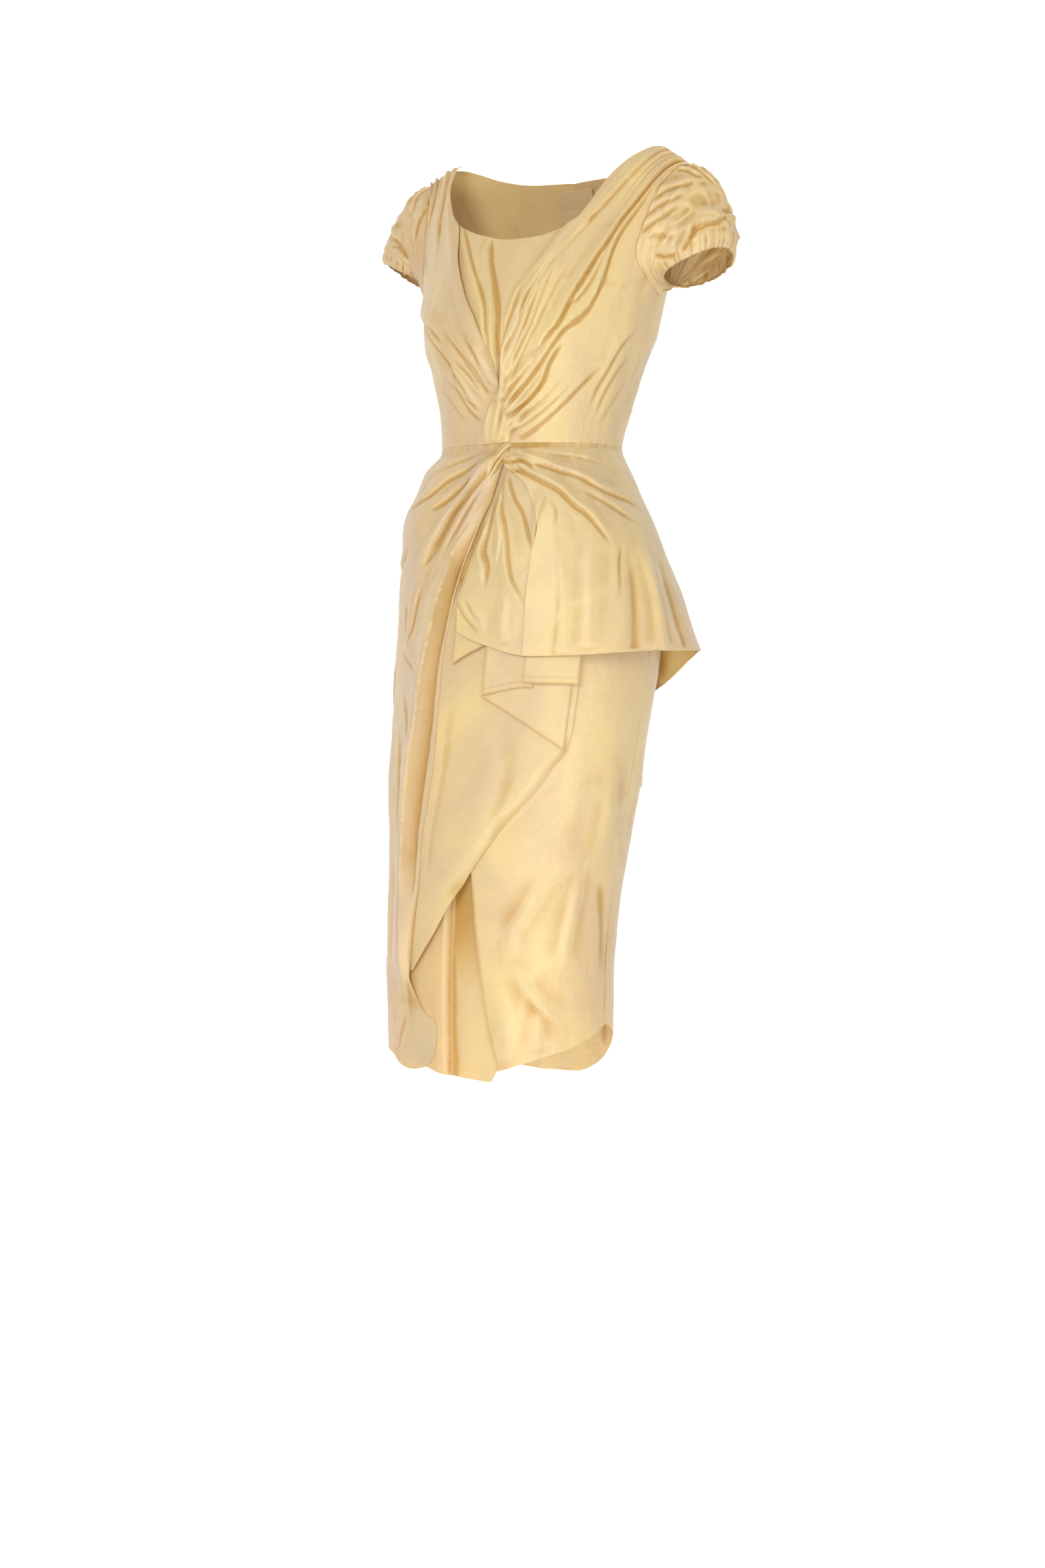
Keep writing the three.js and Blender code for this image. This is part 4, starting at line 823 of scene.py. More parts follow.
def swag_off(phi, q):
    folds = np.maximum(fold_lift(SWAG_FOLDS, phi, q), CLOSE_TO_BODY)
    free = 2 * OVER_ONE + SWAG_HANG * hang(q) + folds + wrinkle(phi, q, seed=75, size=30, height=0.5)
    beneath = (1 - rising(phi, wrap_valley(q), 4.5)) * rising(q, -505, 30)
    return lerp(free, np.minimum(free, SWAG_START), beneath)


def peplum_off(phi, q):
    over_swag = 1 - rising(phi, 29, 12)
    over_overlay = 1 - rising(phi, 46, 8)
    top = OVER_ONE + CLEAR + (OVER_ONE + 0.4) * (over_overlay + over_swag)
    drop = hang(q, peplum_hemline(phi))
    flare = np.maximum(peplum_flare(phi), 15.7 * over_swag + 4)
    flare = flare - 3.5 * (1 - rising(phi, 24, 34))
    clear = over_swag * np.maximum(0, fold_lift(SWAG_FOLDS, phi, q)) * falling(phi, 29, 6)
    bell = lerp(1.1, 3.2, rising(phi, 50, 40))
    free = top + (flare - top) * drop**bell + clear
    folds = np.maximum(fold_lift(PEPLUM_FOLDS, phi, q), -4)
    free = free + folds + wrinkle(phi, q, seed=81, size=36, height=1.2)
    start = seam_level(phi) + pucker(phi, q, seed=83)
    free = free - 2.2 * (1 - rising(phi, 2, 4)) * rising(q, -374, 26)
    return start + (free - start) * falling(q, WAIST - 1, 15)


def underlap_off(phi, q):
    """A pleat stands forward at the wearer's right and drops sharply to the inner panel."""
    rise = 1 - UNDERLAP["back"] * rising(phi, UNDERLAP["drop_end"], UNDERLAP["back_run"])
    drop = rising(phi, UNDERLAP["drop_start"], UNDERLAP["drop_end"] - UNDERLAP["drop_start"])
    deep = UNDERLAP["drop"] * drop * rise * falling(q, UNDERLAP["top"], UNDERLAP["run"])
    left = UNDERLAP["rise"] * falling(phi, -6, 4) * falling(q, -900, 60)
    return -(WALL + 0.5) - deep + left + wrinkle(phi, q, seed=91, size=30, height=0.8)


def underlap_shade(phi, q):
    """Painted shade beside the pleat and painted shadow under the overlay, paler towards the hem, with
    a weak share of the same colour on the forward panel.
    """
    beside = phi - UNDERLAP["drop_end"]
    shade = rising(beside, -1.5, 2) * (1 - falling(q, -860, 110)) * (1 - 0.35 * ease(beside / 14))
    strip = hump(beside, 1.6) * falling(q, UNDERLAP["top"] - 50, 40)
    lit = 0.25 * falling(beside, -1.5, 2) * falling(q, UNDERLAP["top"], 60)
    return np.maximum(np.maximum(shade, 0.95 * strip), lit)


def slit_edge_shade(phi, q):
    """A line of painted shade along the free edge beside the slit."""
    inside = (phi - slit_edge(q)) * mm_per_degree(q)
    return 0.65 * hump(inside, 2.6) * falling(q, -790, 40)


def tier_edge_shade(row, phi, q):
    """A line of painted shadow along a tier's hem and its free sides."""
    hem = q - curve(row["hem"])(phi)
    sides = np.minimum(phi - row["start"], row["end"] - phi) * mm_per_degree(q)
    return 0.75 * np.maximum(hump(hem, 2.0), 0.8 * hump(sides, 2.0))


def tier_off(row, phi, q):
    """A tier hangs at its own level and ripples below its top."""
    ripple = row["ripple"] * np.sin(np.radians(phi * 14 + 60)) * falling(q, row["top"] - 20, 60)
    return row["off"] + ripple + wrinkle(phi, q, seed=int(row["off"] * 10), size=24, height=0.3)


# ---------- laying cloth on the form ----------


def smoothed(values, steps, wrap=False):
    """An array averaged with its neighbours again and again."""
    for _ in range(steps):
        ends = (values[-1:], values[:1]) if wrap else (values[:1], values[-1:])
        wide = np.concatenate([ends[0], values, ends[1]])
        values = (wide[:-2] + 2 * wide[1:-1] + wide[2:]) / 4
        tall = np.concatenate([values[:, :1], values, values[:, -1:]], 1)
        values = (tall[:, :-2] + 2 * tall[:, 1:-1] + tall[:, 2:]) / 4
    return values


def hollows(lift, wrap=False):
    """How deep each place lies between its neighbours, from 0 to 1: the share of painted shade in the
    cloth's colour there.
    """
    near = np.clip((smoothed(lift, HOLLOW_SHADE["near_steps"], wrap) - lift) / HOLLOW_SHADE["near_mm"], 0, 1)
    far = np.clip((smoothed(lift, HOLLOW_SHADE["far_steps"], wrap) - lift) / HOLLOW_SHADE["far_mm"], 0, 1)
    return np.maximum(HOLLOW_SHADE["near_share"] * near, HOLLOW_SHADE["far_share"] * far)


def piece_grid(name):
    """The shares across and down at each place of a piece's grid."""
    columns, rows = GRIDS[name]
    return np.meshgrid(np.linspace(0, 1, columns), np.linspace(0, 1, rows), indexing="ij")


def grid_object(name, points, uv, depth, wrap=False):
    """A quad grid from an array of points [column, row], in millimetres, rows running down."""
    columns, rows = GRIDS[name]
    spans = columns if wrap else columns - 1
    i, j = np.meshgrid(np.arange(spans), np.arange(rows - 1), indexing="ij")
    after = (i + 1) % columns
    faces = np.stack([i * rows + j + 1, after * rows + j + 1, after * rows + j, i * rows + j], -1)
    mesh = bpy.data.meshes.new(name)
    mesh.from_pydata(
        (points.reshape(-1, 3) * MM).tolist(), [], faces.reshape(-1, 4).tolist())
    layer = mesh.uv_layers.new(name="Cloth")
    corner_u = np.stack([i, i + 1, i + 1, i], -1)
    corner_v = np.stack([j + 1, j + 1, j, j], -1)
    layer.data.foreach_set("uv", uv[corner_u, corner_v].astype(np.float32).ravel())
    # Painted shade: the share of the darker fold colour at each point, read by the cloth's material.
    shade_paint = mesh.attributes.new("Hollow", "FLOAT", "POINT")
    shade_paint.data.foreach_set("value", depth.astype(np.float32).ravel())
    piece = bpy.data.objects.new(name, mesh)
    bpy.context.scene.collection.objects.link(piece)
    return piece


def thicken(piece):
    """Gives a sheet its own thickness inwards, with closed edges."""
    bpy.ops.object.select_all(action="DESELECT")
    piece.select_set(True)
    bpy.context.view_layer.objects.active = piece
    wall = piece.modifiers.new("Wall", "SOLIDIFY")
    wall.thickness = SHELL * MM
    wall.offset = -1
    wall.use_even_offset = False
    wall.use_rim = True
    bpy.ops.object.modifier_apply(modifier=wall.name)
    bpy.ops.object.shade_smooth_by_angle(angle=math.radians(SMOOTH_DEGREES))


def finish_cloth(piece, kind="yellow"):
    """Gives a piece its cloth, hides the solid that it stands for and hangs the piece on the body."""
    cut = CUTS[piece.name]
    piece.data.materials.clear()
    piece.data.materials.append(cloth_material(kind))
    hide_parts(cut["node"])
    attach(piece, BODY)


def lay(name, place, off, grain=0.0, sink=(0, 0, 0, 0), shade_paint=None):
    """Lays a sheet on the form. place(u, v) gives phi and q with u to higher phi and v down,
    off(phi, q) how far the solid's inner face stands off. sink says which of the edges at low
    phi, high phi, top and bottom turn in along a seam. The last argument, if given, paints more
    shade and shadow over the shade painted in the hollows."""
    u, v = piece_grid(name)
    phi, q = place(u, v)
    lift = off(phi, q) + WALL
    # Painted shade: the colour darkens where the cloth lies below its neighbours, taken before the
    # seams turn in.
    depth = hollows(lift)
    flat = body(phi, q)
    across = np.linalg.norm(np.diff(flat, axis=0, prepend=flat[:1]), axis=-1).cumsum(0)
    down = np.linalg.norm(np.diff(flat, axis=1, prepend=flat[:, :1]), axis=-1).cumsum(1)
    distances = (across, across[-1:] - across, down, down[:, -1:] - down)
    for turned, distance in zip(sink, distances):
        lift = lift - turned * SEAM_SINK * hump(distance, SEAM_TURN)
    points = body(phi, q) + body_normal(phi, q) * lift[..., None]
    cos, sin = math.cos(grain), math.sin(grain)
    x, y = phi * MAP_MM * MM, q * MM
    uv = np.stack([x * cos - y * sin, x * sin + y * cos], -1)
    # More painted shade and painted shadow where the piece asks for it.
    if shade_paint:
        depth = np.maximum(depth, shade_paint(phi, q))
    piece = grid_object(name, points, uv, depth)
    thicken(piece)
    return piece


def between(left, right, top, bottom):
    """Fills a region between two side edges given as phi(q), from a top level to a hem."""

    def place(u, v):
        middle = (top + bottom(0)) / 2
        guess = lerp(left(middle), right(middle), u)
        level = lerp(top, bottom(guess), v)
        phi = lerp(left(level), right(level), u)
        return phi, lerp(top, bottom(phi), v)

    return place


def constant(value):
    """An edge that stays at one phi or one level."""
    return lambda at: np.full(np.shape(at), float(value))


# ---------- materials ----------


def add_node(nodes, kind, label, **inputs):
    """Adds a node and sets its inputs by name, with underscores for spaces."""
    node = nodes.new(kind)
    node.label = label
    for key, value in inputs.items():
        node.inputs[key.replace("_", " ")].default_value = value
    return node


def colour_mix(nodes, label):
    """Adds a node that mixes two colours."""
    node = add_node(nodes, "ShaderNodeMix", label)
    node.data_type = "RGBA"
    return node


def stretched_noise(tree, uv, label, along, across, **inputs):
    """Noise over the cloth map, with its own number of swings to the metre each way."""
    mapping = add_node(tree.nodes, "ShaderNodeMapping", label + " stretch",
                       Scale=(along, across, 1))
    tree.links.new(uv.outputs["UV"], mapping.inputs["Vector"])
    noise = add_node(tree.nodes, "ShaderNodeTexNoise", label, Scale=1.0, **inputs)
    tree.links.new(mapping.outputs["Vector"], noise.inputs["Vector"])
    return noise.outputs["Fac"]


def ranged(tree, source, label, from_low, from_high, to_low, to_high):
    """Maps a value from one range to another."""
    node = add_node(tree.nodes, "ShaderNodeMapRange", label, From_Min=from_low,
                    From_Max=from_high, To_Min=to_low, To_Max=to_high)
    tree.links.new(source, node.inputs["Value"])
    return node.outputs["Result"]


def taffeta(name, look, beige_low, beige_high):
    """Shot silk taffeta: fine crosswise ribs with slubs, a soft lustre, two thread colours and painted
    shade in the hollows.
    """
    made = bpy.data.materials.new(name)
    made.use_nodes = True
    tree = made.node_tree
    nodes, links = tree.nodes, tree.links
    shader = nodes["Principled BSDF"]
    uv = add_node(nodes, "ShaderNodeUVMap", "cloth map")
    uv.uv_map = "Cloth"
    slub, ends, streaks, cloud, crush = (
        stretched_noise(tree, uv, label, **row) for label, row in CLOTH_NOISES.items())

    threads = colour_mix(nodes, "warp and weft threads")
    threads.inputs["A"].default_value = tuple(look.yellow)
    threads.inputs["B"].default_value = tuple(look.beige)
    share = ranged(tree, cloud, "drift amount", 0.35, 0.68, beige_low, beige_high)
    links.new(share, threads.inputs["Factor"])
    # Painted shade: the colour turns to the darker fold colour as the cloth's stored shade share rises.
    depth = add_node(nodes, "ShaderNodeAttribute", "shade_paint")
    depth.attribute_name = "Hollow"
    painted_shade_mix = colour_mix(nodes, "golden in the hollows")
    painted_shade_mix.inputs["B"].default_value = tuple(look.deep)
    links.new(threads.outputs["Result"], painted_shade_mix.inputs["A"])
    links.new(ranged(tree, depth.outputs["Fac"], "hollow share", 0.05, 1, 0, 1),
              painted_shade_mix.inputs["Factor"])
    streak = colour_mix(nodes, "slub streaks")
    streak.blend_type = "MULTIPLY"
    streak.inputs["Factor"].default_value = 1.0
    links.new(painted_shade_mix.outputs["Result"], streak.inputs["A"])
    links.new(ranged(tree, streaks, "streak tone", 0.3, 0.7, 0.98, 1.01), streak.inputs["B"])
    links.new(streak.outputs["Result"], shader.inputs["Base Color"])
    links.new(ranged(tree, ends, "gloss", 0, 1, look.roughness - 0.06, look.roughness + 0.1),
              shader.inputs["Roughness"])

    weave = add_node(nodes, "ShaderNodeMath", "weave height")
    weave.operation = "ADD"
    links.new(slub, weave.inputs[0])
    links.new(ends, weave.inputs[1])
    soft = add_node(nodes, "ShaderNodeBump", "crushed cloth", Strength=0.8, Distance=0.0014)
    links.new(crush, soft.inputs["Height"])
    bump = add_node(nodes, "ShaderNodeBump", "weave", Strength=0.12, Distance=0.0002)
    links.new(weave.outputs["Value"], bump.inputs["Height"])
    links.new(soft.outputs["Normal"], bump.inputs["Normal"])
    links.new(bump.outputs["Normal"], shader.inputs["Normal"])

    shader.inputs["Subsurface Weight"].default_value = look.glow
    shader.inputs["Sheen Weight"].default_value = look.sheen
    for socket, value in CLOTH_SHADING.items():
        shader.inputs[socket].default_value = value
    return made


def plain_material(name, colour, roughness, glow=0.0):
    """A matt finish with a little grain, or a surface lit from behind with a glow."""
    made = bpy.data.materials.new(name)
    made.use_nodes = True
    nodes, links = made.node_tree.nodes, made.node_tree.links
    shader = nodes["Principled BSDF"]
    place = add_node(nodes, "ShaderNodeTexCoord", "place")
    grain = add_node(nodes, "ShaderNodeTexNoise", "grain", Scale=60.0, Detail=2.0)
    links.new(place.outputs["Object"], grain.inputs["Vector"])
    tone = colour_mix(nodes, "tone")
    tone.inputs["A"].default_value = colour
    tone.inputs["B"].default_value = tuple(c * 0.97 for c in colour[:3]) + (1,)
    links.new(grain.outputs["Fac"], tone.inputs["Factor"])
    links.new(tone.outputs["Result"], shader.inputs["Base Color"])
    shader.inputs["Roughness"].default_value = roughness
    shader.inputs["Emission Color"].default_value = (1, 1, 1, 1)
    shader.inputs["Emission Strength"].default_value = glow
    return made


def cloth_material(kind):
    """The dress's cloth; on the wearer's right more beige is mixed in, painted shade and shot-colour
    shift of the side turned from the light.
    """
    name, low, high = CLOTH_KINDS[kind]
    found = bpy.data.materials.get(name)
    return found or taffeta(name, bpy.context.scene.dress_look, low, high)


# ---------- settings ----------


class DressLook(bpy.types.PropertyGroup):
    yellow: bpy.props.FloatVectorProperty(
        name="Weft yellow", description="Colour of the yellow threads", subtype="COLOR",
        size=4, min=0, max=1, default=(0.80, 0.585, 0.275, 1))
    beige: bpy.props.FloatVectorProperty(
        name="Warp beige", description="Colour of the pinkish threads", subtype="COLOR",
        size=4, min=0, max=1, default=(0.63, 0.45, 0.275, 1))
    # Painted shade: the darker colour laid into the folds, recesses and shaded edges.
    deep: bpy.props.FloatVectorProperty(
        name="Painted fold shade", description="Colour of the cloth down in its folds", subtype="COLOR",
        size=4, min=0, max=1, default=(0.49, 0.275, 0.05, 1))
    roughness: bpy.props.FloatProperty(
        name="Roughness", description="Lower is glossier", subtype="FACTOR",
        min=0.1, max=1, default=0.42)
    sheen: bpy.props.FloatProperty(
        name="Sheen", description="Pale veil of light at grazing angles", subtype="FACTOR",
        min=0, max=1, default=0.15)
    glow: bpy.props.FloatProperty(
        name="Glow", description="Light that passes into the thin cloth", subtype="FACTOR",
        min=0, max=1, default=0.3)


class DressStage(bpy.types.PropertyGroup):
    floor_level: bpy.props.FloatProperty(
        name="Floor level", description="Height of the floor in the dress's frame",
        unit="LENGTH", default=-1.498)
    surroundings: bpy.props.FloatProperty(
        name="Surroundings", description="Strength of the light from all round", min=0,
        default=0.52)
    backdrop: bpy.props.FloatProperty(
        name="Backdrop", description="Glow of the white backdrop and floor", min=0,
        default=0.9)
    key: bpy.props.FloatProperty(
        name="Key light", description="Power of the main soft light", unit="POWER", min=0,
        default=32)
    fill: bpy.props.FloatProperty(
        name="Fill light", description="Power of the light at the camera's right",
        unit="POWER", min=0, default=8)
    rim: bpy.props.FloatProperty(
        name="Side light", description="Power of the light at the wearer's right", unit="POWER",
        min=0, default=3)
    foot: bpy.props.FloatProperty(
        name="Low light", description="Power of the light near the floor", unit="POWER",
        min=0, default=15)
    under: bpy.props.FloatProperty(
        name="Floor bounce", description="Power of the light that comes up into the hem",
        unit="POWER", min=0, default=1.2)


# ---------- the pieces ----------


class DRESS_OT_inset(bpy.types.Operator):
    """Lays the centre-front inset with its deep pleats"""

    bl_idname = "dress.inset"
    bl_label = "Bodice inset"

    def execute(self, context):
        neckline = curve(NECKLINE)

        def place(u, v):
            at = lerp(INSET["top"], INSET["foot"], v)
            left = np.minimum(right_drape_edge(at) - INSET["under"], -6)
            right = np.maximum(left_drape_edge(at) + INSET["under"], 10)
            phi = lerp(left, right, u)
            return phi, lerp(neckline(phi), INSET["foot"], v)

        finish_cloth(lay("inset_front", place, inset_off, sink=(0, 0, 0.4, 0)))
        return {"FINISHED"}


class DRESS_OT_drapes(bpy.types.Operator):
    """Lays the two pleated front drapes that cross at the waist"""

    bl_idname = "dress.drapes"
    bl_label = "Bodice drapes"

    def execute(self, context):
        def right(u, v):
            q = lerp(0, WAIST, v)
            outer = -SIDE_SEAM + (SIDE_SEAM - armhole_front(q)) * RIGHT_ARMHOLE_WIDTH
            return lerp(outer, right_drape_edge(q), u), q

        def left(u, v):
            q = lerp(0, WAIST, v)
            return lerp(left_drape_edge(q), armhole_front(q), u**PLEATED_SHARE), q

        finish_cloth(lay("drape_right", right, right_drape_off, grain=0.35,
                         sink=(1, 0, 0, 1)), "beige")
        finish_cloth(lay("drape_left", left, left_drape_off, grain=-0.35,
                         sink=(0, 1, 0, 1)))
        return {"FINISHED"}


class DRESS_OT_backs(bpy.types.Operator):
    """Lays the plain back halves of the bodice and of the skirt"""

    bl_idname = "dress.backs"
    bl_label = "Backs"

    def execute(self, context):
        neckline = curve(BACK_NECKLINE)
        for side, width, name in ((1, 1, "back_left"), (-1, RIGHT_ARMHOLE_WIDTH, "back_right")):
            def place(u, v, side=side, width=width):
                at = lerp(0, WAIST, v)
                arm = SIDE_SEAM + (armhole_back(at) - SIDE_SEAM) * width
                phi = lerp(arm, 180, u if side > 0 else 1 - u)
                return side * phi, np.minimum(at, neckline(phi) - BACK_ROW_DROP * v)

            def off(phi, q, side=side):
                folds = fold_lift(BODICE_BACK_FOLDS, side * phi, q)
                return CLEAR + folds + wrinkle(phi, q, seed=101, size=34, height=0.7)

            finish_cloth(lay(name, place, off, sink=(1, 1, 0, 1)))
        for side, hem, folds, name, kind in (
            (1, curve(BACK_HEM_LEFT), BACK_FOLDS_LEFT, "skirt_left_back", "yellow"),
            (-1, curve(BACK_HEM_RIGHT), BACK_FOLDS_RIGHT, "skirt_right_back", "beige"),
        ):
            def place(u, v, side=side, hem=hem):
                phi = lerp(SIDE_SEAM, 180, u if side > 0 else 1 - u)
                return side * phi, lerp(WAIST, hem(phi), v)

            def off(phi, q, folds=folds, side=side):
                free = CLEAR + fold_lift(folds, phi, q) + wrinkle(phi, q, seed=111, size=50, height=1.3)
                hidden = falling(phi, PEPLUM_END, 5) if side > 0 else 0
                return lerp(free, tucked(phi, q, free), hidden)

            finish_cloth(lay(name, place, off, sink=(1, 1, 1, 0)), kind)
        return {"FINISHED"}


class DRESS_OT_skirt_front(bpy.types.Operator):
    """Lays the front of the skirt: the left panel, the underlap and the diagonal overlay"""

    bl_idname = "dress.skirt_front"
    bl_label = "Skirt front"

    def execute(self, context):
        def front_off(phi, q):
            free = fold_lift(FRONT_FOLDS, phi, q) + wrinkle(phi, q, seed=121, size=50, height=1.3)
            beside = np.where(q > -840, rising(phi, overlay_edge(q), 7), 1)
            return tucked(phi, q, free * falling(q, -660, 60) * beside)

        def overlay_start(q):
            return wrap_valley(q) - OVERLAY["under"]

        def underlap_end(q):
            return slit_edge(q) + UNDERLAP["overlap"]

        place = between(slit_edge, constant(SIDE_SEAM), WAIST, curve(FRONT_HEM))
        finish_cloth(lay("skirt_left_front", place, front_off, sink=(0, 1, 1, 0),
                         shade_paint=slit_edge_shade))
        place = between(constant(UNDERLAP["start"]), underlap_end, UNDERLAP["head"],
                        curve(UNDERLAP_HEM))
        finish_cloth(lay("underlap", place, underlap_off, shade_paint=underlap_shade))
        place = between(overlay_start, overlay_edge, WAIST - 14, constant(OVERLAY["foot"]))
        finish_cloth(lay("overlay", place, overlay_off, grain=0.5))
        return {"FINISHED"}


class DRESS_OT_wrap(bpy.types.Operator):
    """Lays the wrapped right front with its folds from the waist knot"""

    bl_idname = "dress.wrap"
    bl_label = "Skirt wrap"

    def execute(self, context):
        lower = curve(WRAP_LOWER_EDGE)
        spread = curve(WRAP_ROWS)

        def edge(q):
            return np.where(q > -925, wrap_valley(q), lower(q))

        region = between(constant(-SIDE_SEAM), edge, WAIST, curve(WRAP_HEM))
        finish_cloth(lay("wrap", lambda u, v: region(u**0.8, spread(v)), wrap_off,
                         grain=-0.15, sink=(1, 0, 1, 0), shade_paint=wrap_recess_shade), "beige")
        return {"FINISHED"}


class DRESS_OT_peplum(bpy.types.Operator):
    """Lays the peplum over the left hip, its swag, tiers, point and corner"""

    bl_idname = "dress.peplum"
    bl_label = "Peplum"

    def execute(self, context):
        def swag_start(q):
            return lerp(wrap_valley(q) - 1.2, swag_edge(q), falling(q, -462, 40))

        def swag_end(q):
            return pleat_edge(q) + 5

        def peplum_start(q):
            return pleat_edge(q) - PEPLUM_UNDER_KNOT * rising(q, -374, 26)

        place = between(peplum_start, constant(PEPLUM_END), WAIST, peplum_hemline)
        finish_cloth(lay("peplum", lambda u, v: place(u**1.25, v), peplum_off,
                         sink=(0, 0, 1, 0)))
        place = between(swag_start, swag_end, SWAG_TOP, curve(SWAG_HEM))
        finish_cloth(lay("swag", place, swag_off, grain=0.2))
        for row in TIERS:
            place = between(constant(row["start"]), constant(row["end"]), row["top"],
                            curve(row["hem"]))

            def stand(phi, q, row=row):
                return tier_off(row, phi, q)

            # Painted shadow along the tier's hem and free sides.
            def painted_edge_shade(phi, q, row=row):
                return tier_edge_shade(row, phi, q)

            finish_cloth(lay(row["name"], lambda u, v: place(u, 1 - (1 - v) ** 1.5), stand,
                             shade_paint=painted_edge_shade))
        return {"FINISHED"}


class DRESS_OT_knot(bpy.types.Operator):
    """Builds the twisted knot at the waist"""

    bl_idname = "dress.knot"
    bl_label = "Waist knot"

    def execute(self, context):
        u, v = piece_grid("knot")
        y = 1 - 2 * v
        taper = 0.66 + 0.34 * y
        wide = KNOT["wide"] * np.sin(math.pi * (u - 0.5)) * np.sqrt(1.02 - y * y) ** 0.8 * taper
        phi = KNOT["phi"] + (wide + KNOT["lean"] * y) / MM_PER_DEGREE
        q = KNOT["q"] + KNOT["high"] * y
        under = np.maximum(wrap_off(np.minimum(phi, wrap_valley(q)), q),
                           np.where(phi > 8, peplum_off(phi, q), 0))
        x = ((phi - KNOT["phi"]) * MM_PER_DEGREE - KNOT["lean"] * y) / KNOT["wide"] / taper
        dome = np.sqrt(np.maximum(0, KNOT["roundness"] - x * x - y * y))
        strands = np.abs(np.sin(KNOT["strands"] * (x - KNOT["twist"] * y - 0.25 * y * y)))
        tight = (0.6 + 0.4 * y) * (1 - 0.25 * hump(y - 0.1, 0.25))
        lift = under + WALL + KNOT["over"] + dome * (
            KNOT["bulge"] * tight + KNOT["groove"] * (strands**0.6 - 0.6))
        points = off_body(phi, q, lift)
        uv = np.stack([phi * MAP_MM * MM, q * MM], -1)
        # Painted shade: a dark line down the strand's right side, which is turned from the light.
        side = 0.9 * hump(x - 0.72, 0.2) * falling(y, 0.9, 0.3)
        depth = np.maximum(hollows(lift), side)
        piece = grid_object("knot", points, uv, depth)
        thicken(piece)
        finish_cloth(piece)
        return {"FINISHED"}


def sleeve_skin(row, angle, t):
    """A point of a sleeve's middle surface: angle 0 at the shoulder, t 0 at the armhole."""
    side, top = row["side"], (1 + np.cos(angle)) / 2
    outward = np.array([side, 0.0, 0.0])
    centre = np.array([row["cx"], row["cy"], row["cz"]], float)

    def armhole(turn):
        at = lerp(ARMHOLE_TOP, ARMHOLE_BOTTOM, (1 - np.cos(turn)) / 2)
        edge = np.where(np.sin(turn) >= 0, armhole_front(at), armhole_back(at))
        phi = side * (SIDE_SEAM + (edge - SIDE_SEAM) * row["width"])
        return off_body(phi, at, np.full(np.shape(at), PUFF["off"]))

    middle = (armhole(np.array(math.pi / 2)) + armhole(np.array(-math.pi / 2))) / 2
    start_at = armhole(angle)
    inset = (ARMHOLE_INSET + SHOULDER_INSET * top**4)[..., None]
    start_at = start_at + unit(middle - start_at) * inset + outward * ARMHOLE_OUT
    end_at = np.stack([
        row["cx"] + side * row["across"] * np.cos(angle),
        row["cy"] - row["deep"] * np.sin(angle),
        row["cz"] + row["tilt"] * np.cos(angle) + row["lean"] * np.sin(angle),
    ], -1)
    end_at[..., 2] -= row["front_drop"] * np.maximum(0, np.sin(angle)) ** 2
    radial = unit(end_at - centre)
    leave = outward * (PUFF["out"] + PUFF["out_top"] * top)[..., None] + radial * PUFF["spread"]
    leave[..., 2] -= PUFF["fall_top"] * top
    arrive = radial * (-PUFF["turn_in"] - row["puff"] * top)[..., None]
    arrive[..., 2] -= PUFF["down"] + row["puff"] * top
    t = t[..., None]
    return (start_at * (2 * t**3 - 3 * t**2 + 1) + leave * SLEEVE_REACH * (t**3 - 2 * t**2 + t)
            + end_at * (3 * t**2 - 2 * t**3) + arrive * SLEEVE_REACH * (t**3 - t**2))


def sleeve_lift(row, angle, t):
    """How far the folds, the gathers and the crumpling move a sleeve's cloth."""
    seed = row["seed"]
    degrees = np.degrees(angle)
    round_mm, down_mm = degrees * SLEEVE_MM, t * SLEEVE_LENGTH
    front = 180 - (540 - degrees * row["side"]) % 360
    folds = fold_lift(SLEEVE_FOLDS, front, -down_mm, lambda q: SLEEVE_MM)
    top = (1 + np.cos(angle)) / 2
    plain_corner = rising(front, 118, 14) * rising(t, 0.5, 0.2)
    near_hem = rising(t, 0.7, 0.16) * falling(t, 1.02, 0.05) * (1 - plain_corner)
    gather = value_noise(round_mm / 2.8, t * 1.5, seed) + 0.6 * value_noise(
        round_mm / 4.6, t * 2, seed + 1)
    near_cap = ease(t / 0.05) * falling(t, 0.34, 0.26) * top**0.5
    cap = value_noise(round_mm / 5.5, t * 1.6, seed + 2)
    crush = crumple(round_mm / 17, down_mm / 12, seed + 3)
    middle = np.sin(math.pi * np.clip(t, 0, 1)) ** 0.8 * (1 - 0.8 * plain_corner)
    lift = folds * ease(t / 0.04) * falling(t, 0.96, 0.12)
    lift = lift + GATHERS["hem"] * near_hem * gather + GATHERS["cap"] * near_cap * cap
    lift = lift + (GATHERS["crush"] + GATHERS["crush_top"] * top) * middle * crush
    lift = lift + GATHERS["fullness"] * ease(t / 0.05)
    return lift - GATHERS["casing"] * rising(t, 0.965, 0.035)


